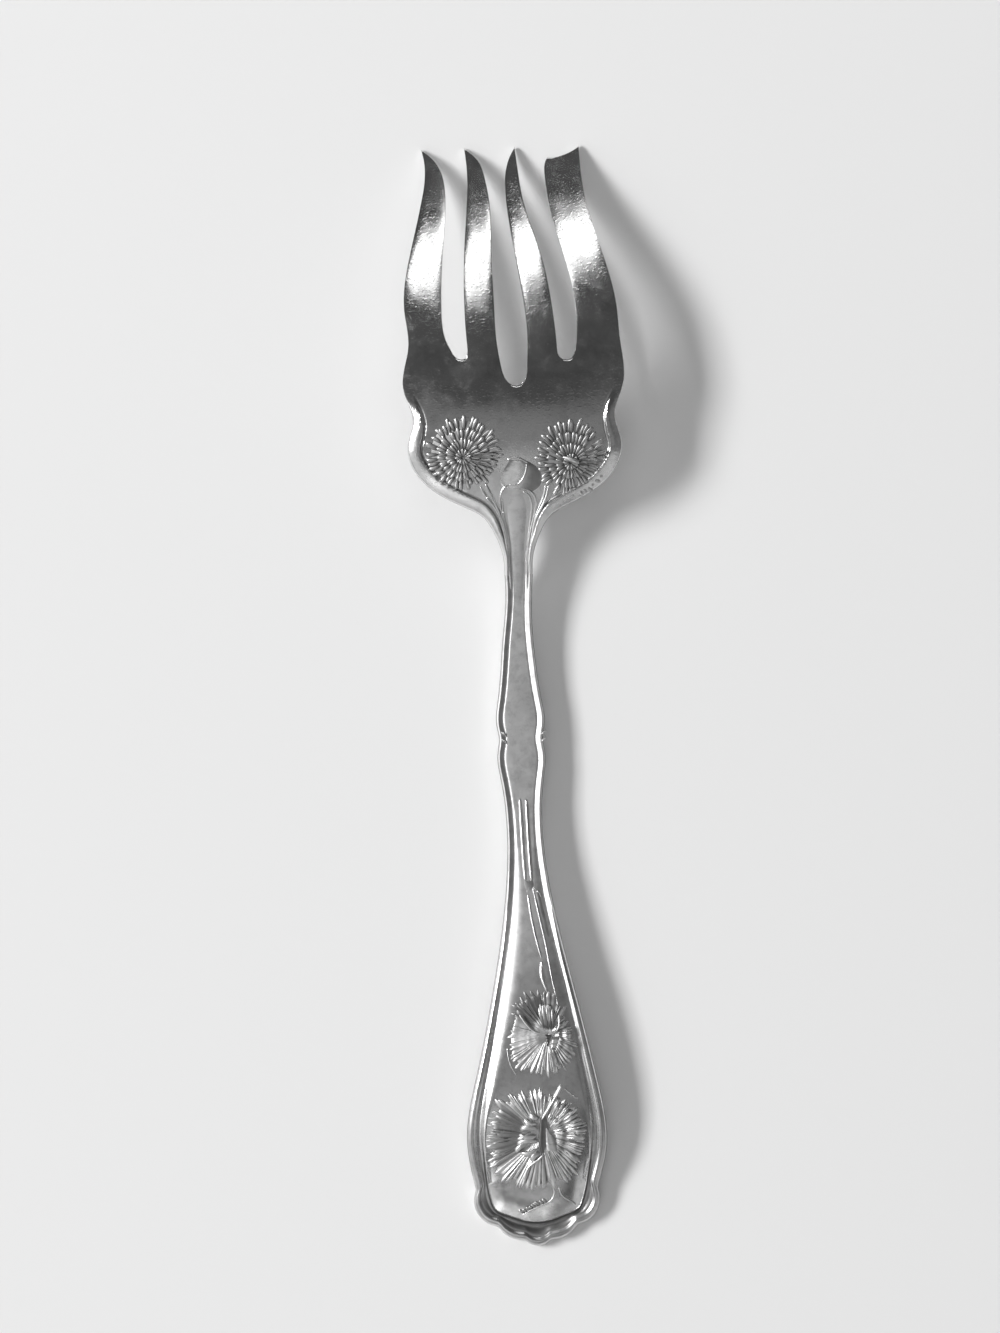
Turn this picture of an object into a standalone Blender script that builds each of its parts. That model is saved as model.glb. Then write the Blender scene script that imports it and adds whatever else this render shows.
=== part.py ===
"""A silver serving fork with four swept tines, lying back up on a table.

Metres, +Z up. Y runs along the fork towards the tips of its tines, X across it, and the table
is Z = 0. Every shape is worked out with the neck joint at Y = 0; the empty named fork then
carries all the pieces so that the middle of the fork's length is at the origin.

The head (bowl plate and tines) and the handle are two pieces, lapped and soldered at the neck:
the handle ends in a tongue that lies in a seat on the back of the bowl. The flower reliefs and
their stems are applied pieces, each soldered to the piece that carries it.
"""

import math

import bmesh
import bpy
from mathutils import Vector
from mathutils.geometry import delaunay_2d_cdt

# Solder gap between pieces that are joined
GAP = 0.0003

# Head, from the neck joint up to the tips: lengths that follow each other along Y
NECK_LENGTH = 0.0080
SHOULDER_LENGTH = 0.0175
LOBE_LENGTH = 0.0112
ROOT_LENGTH = 0.0048
TINE_LENGTH = 0.0428
MIDDLE_SLOT_EXTRA = 0.0050

# Head, across
BOWL_WIDTH = 0.0430
NECK_WIDTH = 0.0052
SIDE_TINE_WIDTH = 0.0076
INNER_TINE_WIDTH = 0.0059
CUTTING_TINE_WIDTH = 0.0082
SHOULDER_BEAD = 0.0015
EDGE_ROUND = 0.00035
TIP_ROUND = 0.12
WALL = 0.6

# Handle, from the neck joint down to its end: lengths that follow each other along Y
STEM_LENGTH = 0.0320
WAIST_RUN = 0.0200
FLARE_LENGTH = 0.0600
NOTCH_RUN = 0.0088
END_RUN = 0.0114

# Handle, across
KNOP_WIDTH = 0.0094
KNOP_NOTCH = 0.0004
WAIST_WIDTH = 0.0071
HANDLE_WIDTH = 0.0275
NOTCH_WIDTH = 0.0239
BORDER_WIDTH = 0.0022
STEM_BORDER_WIDTH = 0.0010
BORDER_HEIGHT = 0.0006
END_LOBE = 0.0022
SIDE_LOBE = 0.0009
MIDDLE_LOBE = 0.0012

# Heights of the back along the middle of the fork, above the table
CREST_HEIGHT = 0.0160
SHOULDER_HEIGHT = 0.0149
NECK_HEIGHT = 0.0092
JOINT_HEIGHT = 0.0070
STEM_HEIGHT = 0.0047
WAIST_HEIGHT = 0.0055
HUMP_HEIGHT = 0.0080
FLARE_HEIGHT = 0.0062
NOTCH_HEIGHT = 0.0041
END_HEIGHT = 0.0016

# How far the edges fall below the middle
TINE_DISH = 0.0008
SHOULDER_DISH = 0.0026
HANDLE_CROWN = 0.0010

# Thicknesses
TIP_THICKNESS = 0.0009
ROOT_THICKNESS = 0.0018
BOWL_THICKNESS = 0.0020
NECK_THICKNESS = 0.0034
STEM_THICKNESS = 0.0031
HANDLE_THICKNESS = 0.0024

# Tongue of the handle, lapped onto the back of the bowl
TONGUE_LENGTH = 0.0166
TONGUE_NECK = 0.0031
TONGUE_WIDTH = 0.0056
TONGUE_PROUD = 0.0004
SEAT_DEPTH = 0.0008

# Flower reliefs and their stems
FLOWER_MARGIN = 0.0006
FLOWER_RIM = 0.0004
BOWL_FLOWER_RISE = 0.0007
HANDLE_FLOWER_RISE = 0.0011
LEFT_FLOWER_X = -0.0101
LEFT_FLOWER_DROP = 0.0018
RIGHT_FLOWER_X = 0.0106
RIGHT_FLOWER_DROP = 0.0022
UPPER_FLOWER_X = 0.0011
UPPER_FLOWER_RISE_Y = 0.0205
UPPER_FLOWER_STRETCH = 1.2
LOWER_FLOWER_X = 0.0005
PETALS = 22
STEM_RADIUS = 0.00045
TWIN_SPACING = 0.00125
TWIN_FOOT_DROP = 0.0118
TIE_DROP = 0.0295
TIE_RADIUS = 0.0010

# Stations along Y
BULGE_Y = NECK_LENGTH + SHOULDER_LENGTH
CREST_Y = BULGE_Y + LOBE_LENGTH
ROOT_Y = CREST_Y + ROOT_LENGTH
TIP_Y = ROOT_Y + TINE_LENGTH
KNOP_Y = -STEM_LENGTH
WAIST_Y = KNOP_Y - WAIST_RUN
FLARE_Y = WAIST_Y - FLARE_LENGTH
NOTCH_Y = FLARE_Y - NOTCH_RUN
END_Y = NOTCH_Y - END_RUN

HALF_BOWL = BOWL_WIDTH / 2
HALF_HANDLE = HANDLE_WIDTH / 2

# Each tine: its width at the root, its middle at each station as a share of the bowl width, and
# its width there as a share of the root width. Stations are shares of the tine's length.
TINE_STATIONS = (0.08, 0.24, 0.48, 0.75, 0.86, 0.94)
TINES = (
    (
        SIDE_TINE_WIDTH,
        (-0.380, -0.399, -0.380, -0.338, -0.334, -0.352),
        (1.03, 0.97, 0.87, 0.63, 0.48, 0.29),
        -0.390,
    ),
    (
        INNER_TINE_WIDTH,
        (-0.136, -0.143, -0.143, -0.135, -0.142, -0.158),
        (1.00, 1.00, 0.93, 0.75, 0.59, 0.41),
        -0.193,
    ),
    (
        INNER_TINE_WIDTH,
        (0.136, 0.124, 0.086, 0.031, 0.023, 0.028),
        (0.97, 0.93, 0.88, 0.58, 0.46, 0.27),
        0.040,
    ),
    (
        CUTTING_TINE_WIDTH,
        (0.391, 0.386, 0.335, 0.268, 0.256, 0.260),
        (1.06, 0.99, 0.95, 0.91, 0.89, 0.80),
        0.334,
    ),
)

# Outline of a shoulder: shares of its length and of half the bowl width
SHOULDER_SWEEP = (
    (0.00, 0.208),
    (0.19, 0.310),
    (0.30, 0.462),
    (0.39, 0.612),
    (0.50, 0.755),
    (0.69, 0.902),
    (1.00, 0.972),
)
LOBE_NOTCH = (0.42, 0.918)
NECK_FILLET = (0.40, 0.56)
BEAD_FOOT = 0.30
BEAD_STOP = 0.25
BEAD_TAPER = 6

# Outline of the bottom of a slot: shares of the gap between two tines
SLOT_CORNER = 0.14
SLOT_DEPTH = 0.30

# Hollowed end of the cutting tine: shares of its width, and of the rise to its sharp corner
BLUNT_CORNER = (0.03, 0.12)
END_HOLLOW = (0.05, 0.32)

# Outline of the handle: shares of each stretch, and of the change in half width along it
STEM_SWEEP = ((0.00, 0.08), (0.12, 0.00), (0.46, 0.29), (0.77, 0.82), (0.93, 1.00))
WAIST_SWEEP = ((0.15, 1.00), (0.40, 0.62), (1.00, 0.00))
FLARE_SWEEP = ((0.28, 0.19), (0.53, 0.49), (0.78, 0.82), (1.00, 1.00))
NOTCH_SWEEP = ((0.70, 0.60), (1.00, 1.00))
HUMP_SHARE = 0.62

# Kinks between the lobes of the handle's end: shares of half the notch width and of the end's run
OUTER_KINK = (0.65, 0.64)
INNER_KINK = (0.21, 0.89)
HUB_SHARE = 0.35

# Outline of the tongue: shares of its length where the narrow part ends and the wide part begins
TONGUE_NARROW = 0.40
TONGUE_WIDE = 0.80
TONGUE_RAMP = 0.25

# Rings of a flower as shares of its radius, and how far the rim is drawn in between petals
PETAL_RINGS = (0, 0.20, 0.45, 0.72, 1)
PETAL_PART = 0.14
HEART_HOLLOW = 0.18
VALLEY_SHARE = 0.45
STEM_FOOT_SHARE = 0.64
TWIN_BEND = 0.55
TWIN_LEAN = 0.30

# Points of a handle section, from an edge to the middle: shares of the border, then of the panel
BORDER_SHARES = (0, 0.12, 0.5, 0.88, 1)
PANEL_SHARES = (0.33, 0.67, 1)
SIDE_SPANS = len(BORDER_SHARES) + len(PANEL_SHARES) - 1

SEGMENTS_PER_SPAN = 3
HEAD_STEP = 0.0021
LEAST_STEP = 0.6
BEAD_STEPS = 40
BEAD_ROWS = (0.5 * SHOULDER_BEAD, 0.8 * SHOULDER_BEAD, SHOULDER_BEAD)
HANDLE_RINGS = 46
TONGUE_RINGS = 12
NOTCH_STEPS = 4
END_LOBE_STEPS = 7
SIDE_LOBE_STEPS = 5
MIDDLE_LOBE_STEPS = 3
RIM_STEPS = 60
BOWL_STEM_STEPS = 10
TWIN_STEPS = 26
SEAT_CLEARANCE = 0.0020
SEAT_OVERRUN = 0.0030
SHARP_ANGLE = math.radians(35)
WELD = 1e-6

# Polish of the silver: the plain faces are brighter than the chased ones
POLISHED = 0.16
CHASED = 0.22


def smooth(points, at):
    """Value at a station of a curve through (station, value) points, with no overshoot."""
    xs = [p[0] for p in points]
    ys = [p[1] for p in points]
    if xs[0] > xs[-1]:
        xs.reverse()
        ys.reverse()
    last = len(xs) - 1
    if at <= xs[0]:
        return ys[0]
    if at >= xs[last]:
        return ys[last]
    spans = [xs[i + 1] - xs[i] for i in range(last)]
    rises = [(ys[i + 1] - ys[i]) / spans[i] for i in range(last)]
    slopes = [rises[0]]
    for before, after in zip(rises, rises[1:]):
        same_way = before * after > 0
        slopes.append(2 * before * after / (before + after) if same_way else 0.0)
    slopes.append(rises[-1])
    i = max(k for k in range(last) if xs[k] <= at)
    t = (at - xs[i]) / spans[i]
    return (
        ys[i] * (1 + 2 * t) * (1 - t) ** 2
        + slopes[i] * spans[i] * t * (1 - t) ** 2
        + ys[i + 1] * t * t * (3 - 2 * t)
        + slopes[i + 1] * spans[i] * t * t * (t - 1)
    )


def back_line(y):
    """Height of the back on the middle of the fork: a parabola over the tines, then a sweep."""
    if y > CREST_Y:
        share = (y - CREST_Y) / (TIP_Y - CREST_Y)
        return CREST_HEIGHT - (CREST_HEIGHT - TIP_THICKNESS) * share**2
    return smooth(
        (
            (CREST_Y, CREST_HEIGHT),
            (BULGE_Y, SHOULDER_HEIGHT),
            (NECK_LENGTH, NECK_HEIGHT),
            (0, JOINT_HEIGHT),
            (KNOP_Y, STEM_HEIGHT),
            (WAIST_Y, WAIST_HEIGHT),
            (WAIST_Y - HUMP_SHARE * FLARE_LENGTH, HUMP_HEIGHT),
            (FLARE_Y, FLARE_HEIGHT),
            (NOTCH_Y, NOTCH_HEIGHT),
            (END_Y, END_HEIGHT),
        ),
        y,
    )


def bowl_back(x, y):
    """Back of the head: the middle line, with the edges dished down and the tips level."""
    dish = smooth(
        (
            (0, 0),
            (NECK_LENGTH, TINE_DISH),
            (BULGE_Y, SHOULDER_DISH),
            (ROOT_Y, TINE_DISH),
            (TIP_Y, 0),
        ),
        y,
    )
    return back_line(y) - dish * (x / HALF_BOWL) ** 2


def bowl_thickness(y):
    """Thickness of the head: thick at the neck, thinning to the tips."""
    return smooth(
        (
            (0, NECK_THICKNESS),
            (NECK_LENGTH, (NECK_THICKNESS + BOWL_THICKNESS) / 2),
            (BULGE_Y, BOWL_THICKNESS),
            (ROOT_Y, ROOT_THICKNESS),
            (TIP_Y, TIP_THICKNESS),
        ),
        y,
    )


def handle_back(x, y):
    """Back of the handle inside its border: the middle line, crowned across."""
    return back_line(y) - HANDLE_CROWN * (x / HALF_HANDLE) ** 2


def handle_thickness(y):
    """Thickness of the handle on its middle line."""
    return smooth(
        (
            (0, NECK_THICKNESS),
            (KNOP_Y, STEM_THICKNESS),
            (FLARE_Y, HANDLE_THICKNESS),
            (END_Y, HANDLE_THICKNESS),
        ),
        y,
    )


def half_stem(y):
    """Half the width of the handle, down to the notch above its scalloped end."""
    neck, knop, waist = NECK_WIDTH / 2, KNOP_WIDTH / 2, WAIST_WIDTH / 2
    notch = NOTCH_WIDTH / 2
    points = [(run * KNOP_Y, neck + grow * (knop - neck)) for run, grow in STEM_SWEEP]
    points += [(KNOP_Y, knop - KNOP_NOTCH)]
    points += [
        (KNOP_Y - run * WAIST_RUN, waist + grow * (knop - waist)) for run, grow in WAIST_SWEEP
    ]
    points += [
        (WAIST_Y - run * FLARE_LENGTH, waist + grow * (HALF_HANDLE - waist))
        for run, grow in FLARE_SWEEP
    ]
    points += [
        (FLARE_Y - run * NOTCH_RUN, HALF_HANDLE + grow * (notch - HALF_HANDLE))
        for run, grow in NOTCH_SWEEP
    ]
    return smooth(points, y)


def border_width(y):
    """The moulded border is narrow along the stem and broad round the end of the handle."""
    return smooth(((WAIST_Y, STEM_BORDER_WIDTH), (FLARE_Y, BORDER_WIDTH)), y)


def panel_room(x, y):
    """How far a flower on the handle can reach before it meets the border."""
    return half_stem(y) - border_width(y) - abs(x) - FLOWER_MARGIN


def half_shoulder():
    """(y, half width) points of the head's side from the neck joint up to the crest."""
    points = [(0, half_stem(0)), (NECK_FILLET[0] * NECK_LENGTH, NECK_FILLET[1] * NECK_WIDTH)]
    points += [(NECK_LENGTH + s * SHOULDER_LENGTH, w * HALF_BOWL) for s, w in SHOULDER_SWEEP]
    points += [(BULGE_Y + LOBE_NOTCH[0] * LOBE_LENGTH, LOBE_NOTCH[1] * HALF_BOWL)]
    points += [(CREST_Y, HALF_BOWL)]
    return points


def half_tongue(y):
    """Half the width of the tongue, before its end is rounded."""
    neck, width = TONGUE_NECK / 2, TONGUE_WIDTH / 2
    narrow, wide = TONGUE_NARROW * TONGUE_LENGTH, TONGUE_WIDE * TONGUE_LENGTH
    return smooth(((0, neck), (narrow, neck), (wide, width)), y)


def spread(start, end, steps):
    """Evenly spaced values from start to end, both included."""
    return [start + (end - start) * step / steps for step in range(steps + 1)]


def arc(start, end, bulge, steps):
    """Points after start, up to end, on a circular arc that bulges to the left of its chord."""
    chord = end - start
    half = chord.length / 2
    radius = (half**2 + bulge**2) / (2 * bulge)
    outward = Vector((-chord.y, chord.x)).normalized()
    centre = (start + end) / 2 - outward * (radius - bulge)
    turn = -2 * math.atan2(half, radius - bulge) / steps
    points = []
    arm = start - centre
    for step in range(1, steps + 1):
        angle = turn * step
        cos, sin = math.cos(angle), math.sin(angle)
        points.append(centre + Vector((arm.x * cos - arm.y * sin, arm.x * sin + arm.y * cos)))
    return points


def new_object(name, bm, collection, parent):
    """A mesh object from a bmesh, its doubles merged and its faces turned outwards."""
    bmesh.ops.remove_doubles(bm, verts=bm.verts, dist=WELD)
    bmesh.ops.recalc_face_normals(bm, faces=bm.faces)
    mesh = bpy.data.meshes.new(name)
    bm.to_mesh(mesh)
    bm.free()
    obj = bpy.data.objects.new(name, mesh)
    collection.objects.link(obj)
    obj.parent = parent
    mesh.shade_smooth()
    mesh.set_sharp_from_angle(angle=SHARP_ANGLE)
    return obj


def as_bmesh(curve_object):
    """The solid of a curve object as a welded bmesh. The curve is removed."""
    bpy.context.view_layer.update()
    graph = bpy.context.evaluated_depsgraph_get()
    mesh = bpy.data.meshes.new_from_object(curve_object.evaluated_get(graph))
    bm = bmesh.new()
    bm.from_mesh(mesh)
    bmesh.ops.remove_doubles(bm, verts=bm.verts, dist=WELD)
    curve = curve_object.data
    bpy.data.objects.remove(curve_object)
    bpy.data.curves.remove(curve)
    bpy.data.meshes.remove(mesh)
    return bm


def tube(path, radii):
    """A bmesh of a round wire along 3D points, with a radius at each of them."""
    curve = bpy.data.curves.new("wire", "CURVE")
    curve.dimensions = "3D"
    curve.bevel_depth = 1
    curve.bevel_resolution = 1
    curve.use_fill_caps = True
    spline = curve.splines.new("POLY")
    spline.points.add(len(path) - 1)
    for point, place, radius in zip(spline.points, path, radii):
        point.co = (*place, 1)
        point.radius = radius
    wire = bpy.data.objects.new("wire", curve)
    bpy.context.scene.collection.objects.link(wire)
    return as_bmesh(wire)


def boolean(obj, operation, other):
    """Joins or cuts a piece with a helper solid, which is then hidden from pictures."""
    modifier = obj.modifiers.new(other.name, "BOOLEAN")
    modifier.operation = operation
    modifier.solver = "EXACT"
    modifier.object = other
    other.hide_render = True
    other.display_type = "WIRE"


def loft(rings):
    """A bmesh through rings of as many points each, capped at its first and last ring."""
    bm = bmesh.new()
    rows = [[bm.verts.new(point) for point in ring] for ring in rings]
    for row, after in zip(rows, rows[1:]):
        for i in range(len(row)):
            bm.faces.new((row[i - 1], row[i], after[i], after[i - 1]))
    bm.faces.new(rows[0])
    bm.faces.new(rows[-1])
    return bm


def head_outline():
    """(x, y, is a corner) points round the head, from the left of the joint to its right."""
    side = half_shoulder()
    left = [(-w, y, y == 0) for y, w in side]
    right = [(w, y, y == 0) for y, w in reversed(side)]
    points = left
    for number, (root, middles, widths, tip) in enumerate(TINES):
        blade = [
            (BOWL_WIDTH * middle, root * width / 2, ROOT_Y + TINE_LENGTH * station)
            for station, middle, width in zip(TINE_STATIONS, middles, widths)
        ]
        points += [(x - half, y, False) for x, half, y in blade]
        if number < 3:
            points.append((BOWL_WIDTH * tip, TIP_Y, True))
        else:
            # The cutting tine ends in a hollowed edge between a blunt and a sharp corner
            x, half, y = blade[-1]
            rise = TIP_Y - y
            points.append((x - half + BLUNT_CORNER[0] * root, y + BLUNT_CORNER[1] * rise, True))
            points.append((x + END_HOLLOW[0] * root, y + END_HOLLOW[1] * rise, False))
            points.append((BOWL_WIDTH * tip, TIP_Y, True))
        points += [(x + half, y, False) for x, half, y in reversed(blade)]
        if number < 3:
            x, half, _ = blade[0]
            next_width, next_middles, next_widths, _ = TINES[number + 1]
            far = BOWL_WIDTH * next_middles[0] - next_width * next_widths[0] / 2
            near = x + half
            bottom = ROOT_Y - (MIDDLE_SLOT_EXTRA if number == 1 else 0)
            corner = SLOT_CORNER * (far - near)
            rise = SLOT_DEPTH * (far - near)
            points.append((near + corner, bottom + rise, False))
            points.append(((near + far) / 2, bottom, False))
            points.append((far - corner, bottom + rise, False))
    return points + right


def head_rim():
    """Points round the head's outline, and the same points moved in by the rounding of its edge.

    The edge is less and less rounded towards the tips and corners, where there is no room for it.
    """
    curve = bpy.data.curves.new("outline", "CURVE")
    curve.dimensions = "2D"
    curve.fill_mode = "NONE"
    curve.resolution_u = SEGMENTS_PER_SPAN
    spline = curve.splines.new("BEZIER")
    outline = head_outline()
    spline.bezier_points.add(len(outline) - 1)
    spline.use_cyclic_u = True
    for point, (x, y, corner) in zip(spline.bezier_points, outline):
        point.co = (x, y, 0)
        point.handle_left_type = point.handle_right_type = "VECTOR" if corner else "AUTO"
    flat = bpy.data.objects.new("outline", curve)
    bpy.context.scene.collection.objects.link(flat)
    bm = as_bmesh(flat)
    rim = [vert.co.xy for vert in bm.verts]
    bm.free()
    corners = [Vector((x, y)) for x, y, corner in outline if corner]
    inner = []
    for i, point in enumerate(rim):
        along = (rim[(i + 1) % len(rim)] - rim[i - 1]).normalized()
        inset = TIP_ROUND * min((point - corner).length for corner in corners)
        inner.append(point + Vector((along.y, -along.x)) * min(EDGE_ROUND, inset))
    return rim, inner


def shoulder_line(side):
    """Points along one side of the head, from where its bead starts up to where it runs out."""
    line = half_shoulder()
    foot, top = BEAD_FOOT * NECK_LENGTH, CREST_Y - BEAD_STOP * LOBE_LENGTH
    return [Vector((side * smooth(line, y), y)) for y in spread(foot, top, BEAD_STEPS)]


def beside(line, depth):
    """The points of a line along the head's side, moved into the plate by a depth."""
    moved = []
    for before, point, after in zip(line, line[1:], line[2:]):
        along = (after - before).normalized()
        inward = Vector((along.y, -along.x)) * (1 if point.x < 0 else -1)
        moved.append(point + inward * depth)
    return moved


def bead_rise(place, lines):
    """Height of the shoulder bead: a half round as wide as the bead, that dies away at its ends."""
    line = min(lines, key=lambda points: min((point - place).length for point in points))
    nearest = min(range(len(line)), key=lambda i: (line[i] - place).length)
    share = nearest / (len(line) - 1)
    offset = 2 * (line[nearest] - place).length / SHOULDER_BEAD - 1
    round_top = math.sqrt(max(0, 1 - offset**2))
    return SHOULDER_BEAD / 2 * round_top * min(1, BEAD_TAPER * share, BEAD_TAPER * (1 - share))


def plate_points(rim, lines):
    """Points inside the head's outline: rows along the shoulder beads, and a staggered grid."""
    rows = [point for line in lines for depth in BEAD_ROWS for point in beside(line, depth)]
    clear = [(point, HEAD_STEP * LEAST_STEP) for point in rim]
    clear += [(point, SHOULDER_BEAD + HEAD_STEP * LEAST_STEP) for line in lines for point in line]
    grid = []
    for row in range(1, int(TIP_Y / HEAD_STEP)):
        for column in range(-int(HALF_BOWL / HEAD_STEP), int(HALF_BOWL / HEAD_STEP) + 1):
            place = Vector(((column + row % 2 / 2) * HEAD_STEP, row * HEAD_STEP))
            if all((place - point).length > room for point, room in clear):
                grid.append(place)
    room = BEAD_ROWS[0] / 2
    return [point for point in rows if all((point - x).length > room for x in rim)] + grid


def form_head():
    """A bmesh of the head: a flat blank with chamfered edges, both its faces filled with a net of
    triangles, bent to the head's form. Until it is bent, Z is the level in the plate, -1 to 1."""
    rim, inner = head_rim()
    lines = [shoulder_line(side) for side in (-1, 1)]
    net = inner + plate_points(inner, lines)
    ring = [tuple(range(len(inner)))]
    _, _, triangles, sources, _, _ = delaunay_2d_cdt(net, [], ring, 1, WELD)
    bm = bmesh.new()
    top, bottom = ([bm.verts.new((*place, level)) for place in net] for level in (1, -1))
    walls = [[bm.verts.new((*place, level)) for place in rim] for level in (WALL, -WALL)]
    for face in (top, bottom):
        for triangle in triangles:
            bm.faces.new([face[sources[i][0]] for i in triangle])
    rows = (top, *walls, bottom)
    for row, after in zip(rows, rows[1:]):
        for i in range(len(rim)):
            last = i - 1 if i else len(rim) - 1
            bm.faces.new((row[last], row[i], after[i], after[last]))
    for vert in bm.verts:
        x, y, level = vert.co
        below = bowl_thickness(y) * (1 - level) / 2
        raised = bead_rise(vert.co.xy, lines) if level > 0 else 0
        vert.co.z = bowl_back(x, y) - below + raised
    bmesh.ops.triangulate(bm, faces=bm.faces)
    return bm


def tongue_rings(grow, top, overrun):
    """Sections of the tongue from its round end past the joint, grown all round by a clearance."""
    length = TONGUE_LENGTH + grow
    start = -GAP - overrun
    rings = []
    for step in range(TONGUE_RINGS + 1):
        y = start + (length - start) * math.cos(step / TONGUE_RINGS * math.pi / 2)
        half = half_tongue(y)
        round_end = length - 0.5 * TONGUE_WIDTH
        if y > round_end:
            share = min((y - round_end) / (length - round_end), 0.995)
            half *= math.sqrt(1 - share**2)
        half += grow
        proud = smooth(((0, 0), (TONGUE_RAMP * TONGUE_LENGTH, TONGUE_PROUD)), y) + top
        across = [half * (i / SIDE_SPANS - 1) for i in range(2 * SIDE_SPANS + 1)]
        back = [(x, y, bowl_back(x, y) + proud) for x in across]
        seat = [(x, y, bowl_back(x, y) - SEAT_DEPTH - grow) for x in reversed(across)]
        rings.append(back + seat)
    return rings


def handle_edge():
    """(edge point, middle point) pairs down the right side of the handle and round its end."""
    pairs = []
    for y in spread(-GAP, FLARE_Y, HANDLE_RINGS):
        pairs.append((Vector((half_stem(y), y)), Vector((0, y))))
    notch = Vector((NOTCH_WIDTH / 2, NOTCH_Y))
    kink = Vector((OUTER_KINK[0] * notch.x, NOTCH_Y - OUTER_KINK[1] * END_RUN))
    last_kink = Vector((INNER_KINK[0] * notch.x, NOTCH_Y - INNER_KINK[1] * END_RUN))
    mirrored = Vector((-last_kink.x, last_kink.y))
    round_end = [
        Vector((half_stem(y), y)) for y in spread(FLARE_Y, NOTCH_Y, NOTCH_STEPS)[1:]
    ]
    round_end += arc(notch, kink, END_LOBE, END_LOBE_STEPS)
    round_end += arc(kink, last_kink, SIDE_LOBE, SIDE_LOBE_STEPS)
    round_end += arc(last_kink, mirrored, MIDDLE_LOBE, 2 * MIDDLE_LOBE_STEPS)[:MIDDLE_LOBE_STEPS]
    hub_run = HUB_SHARE * (NOTCH_RUN + END_RUN)
    for number, edge in enumerate(round_end, 1):
        pairs.append((edge, Vector((0, FLARE_Y - hub_run * number / len(round_end)))))
    pairs[-1][0].x = 0
    return pairs


def handle_rings():
    """Sections of the handle: a rounded border at each edge, and a crowned panel between."""
    rings = []
    for edge, middle in handle_edge():
        rib = edge - middle
        border = border_width(edge.y)
        depths = [share * border for share in BORDER_SHARES]
        panel = rib.length - border
        depths += [border + share * panel for share in PANEL_SHARES]
        back, front = [], []
        for depth in depths:
            place = edge - rib * (depth / rib.length)
            swell = 1 - (2 * depth / border - 1) ** 2 if depth < border else 0
            raised = BORDER_HEIGHT * math.sqrt(max(swell, 0))
            top = handle_back(place.x, place.y) + raised
            floor = back_line(place.y) - handle_thickness(place.y) - 0.5 * raised
            back.append((place.x, place.y, top))
            front.append((place.x, place.y, max(floor, 0)))
        left_back = [(-x, y, z) for x, y, z in back]
        left_front = [(-x, y, z) for x, y, z in front]
        rings.append(left_back + back[-2::-1] + front + left_front[-2::-1])
    return rings


def fold_end(bm):
    """Takes away the flat cap where the two sides of the handle's round end already meet."""
    flat = [face for face in bm.faces if all(abs(vert.co.x) < WELD for vert in face.verts)]
    bmesh.ops.delete(bm, geom=flat, context="FACES_ONLY")


def flower(carrier, centre, radius, stretch, rise):
    """A bmesh of a round bloom of narrow petals, lying a solder gap above its carrier.

    A radial line is spun once round. Petals are ridges that run out from the heart, and every
    second spoke is drawn in at the rim, which parts their tips.
    """
    bm = bmesh.new()
    line = [bm.verts.new((radius * share, 0, 0)) for share in PETAL_RINGS]
    edges = [bm.edges.new(pair) for pair in zip(line, line[1:])]
    bmesh.ops.spin(
        bm,
        geom=line + edges,
        axis=(0, 0, 1),
        cent=(0, 0, 0),
        angle=2 * math.pi,
        steps=2 * PETALS,
        use_merge=True,
    )
    bmesh.ops.remove_doubles(bm, verts=bm.verts, dist=WELD)
    base = bm.faces[:]
    lifted = bmesh.ops.extrude_face_region(bm, geom=base, use_keep_orig=True)["geom"]
    top = {item for item in lifted if isinstance(item, bmesh.types.BMVert)}
    for vert in bm.verts:
        x, y, _ = vert.co
        share = math.hypot(x, y) / radius
        ridge = 0.5 + 0.5 * math.cos(PETALS * math.atan2(y, x))
        reach = 1 - PETAL_PART * (1 - ridge) * share**3
        place_x, place_y = centre[0] + x * reach, centre[1] + y * reach * stretch
        height = carrier(place_x, place_y) + GAP
        if vert in top:
            swell = math.sin(math.pi * (HEART_HOLLOW + (1 - HEART_HOLLOW) * share))
            crease = VALLEY_SHARE + (1 - VALLEY_SHARE) * ridge
            height += FLOWER_RIM + (rise - FLOWER_RIM) * swell * crease
        vert.co = (place_x, place_y, height)
    return bm


def stem_path(points, carrier, steps):
    """3D points of a wire that lies a solder gap above its carrier, through (y, x) points."""
    path = []
    for y in spread(points[0][0], points[-1][0], steps):
        x = smooth(points, y)
        path.append((x, y, carrier(x, y) + GAP + STEM_RADIUS))
    return path


def silver(obj, roughness):
    """Each piece has its own polished silver."""
    material = bpy.data.materials.new(obj.name + "_silver")
    material.use_nodes = True
    shader = material.node_tree.nodes["Principled BSDF"]
    shader.inputs["Base Color"].default_value = (0.79, 0.78, 0.76, 1)
    shader.inputs["Metallic"].default_value = 1
    shader.inputs["Roughness"].default_value = roughness
    obj.data.materials.append(material)


for old in list(bpy.data.objects):
    bpy.data.objects.remove(old)

parts = bpy.data.collections.new("serving_fork")
cutters = bpy.data.collections.new("cutters")
for group in (parts, cutters):
    bpy.context.scene.collection.children.link(group)

fork = bpy.data.objects.new("fork", None)
fork.location = (0, -(TIP_Y + END_Y) / 2, 0)
parts.objects.link(fork)

# Head: the blank is bent and dished, its shoulder beads are raised, and the seat is sunk
head = new_object("head", form_head(), parts, fork)
seat_rings = tongue_rings(GAP, SEAT_CLEARANCE, SEAT_OVERRUN)
seat = new_object("tongue_seat", loft(seat_rings), cutters, fork)
boolean(head, "DIFFERENCE", seat)
silver(head, POLISHED)

# Handle: one solid from the tongue, through the step at the joint, to the scalloped end
body = loft(tongue_rings(0, 0, 0) + handle_rings())
bmesh.ops.remove_doubles(body, verts=body.verts, dist=WELD)
fold_end(body)
handle = new_object("handle", body, parts, fork)
silver(handle, POLISHED)

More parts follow.
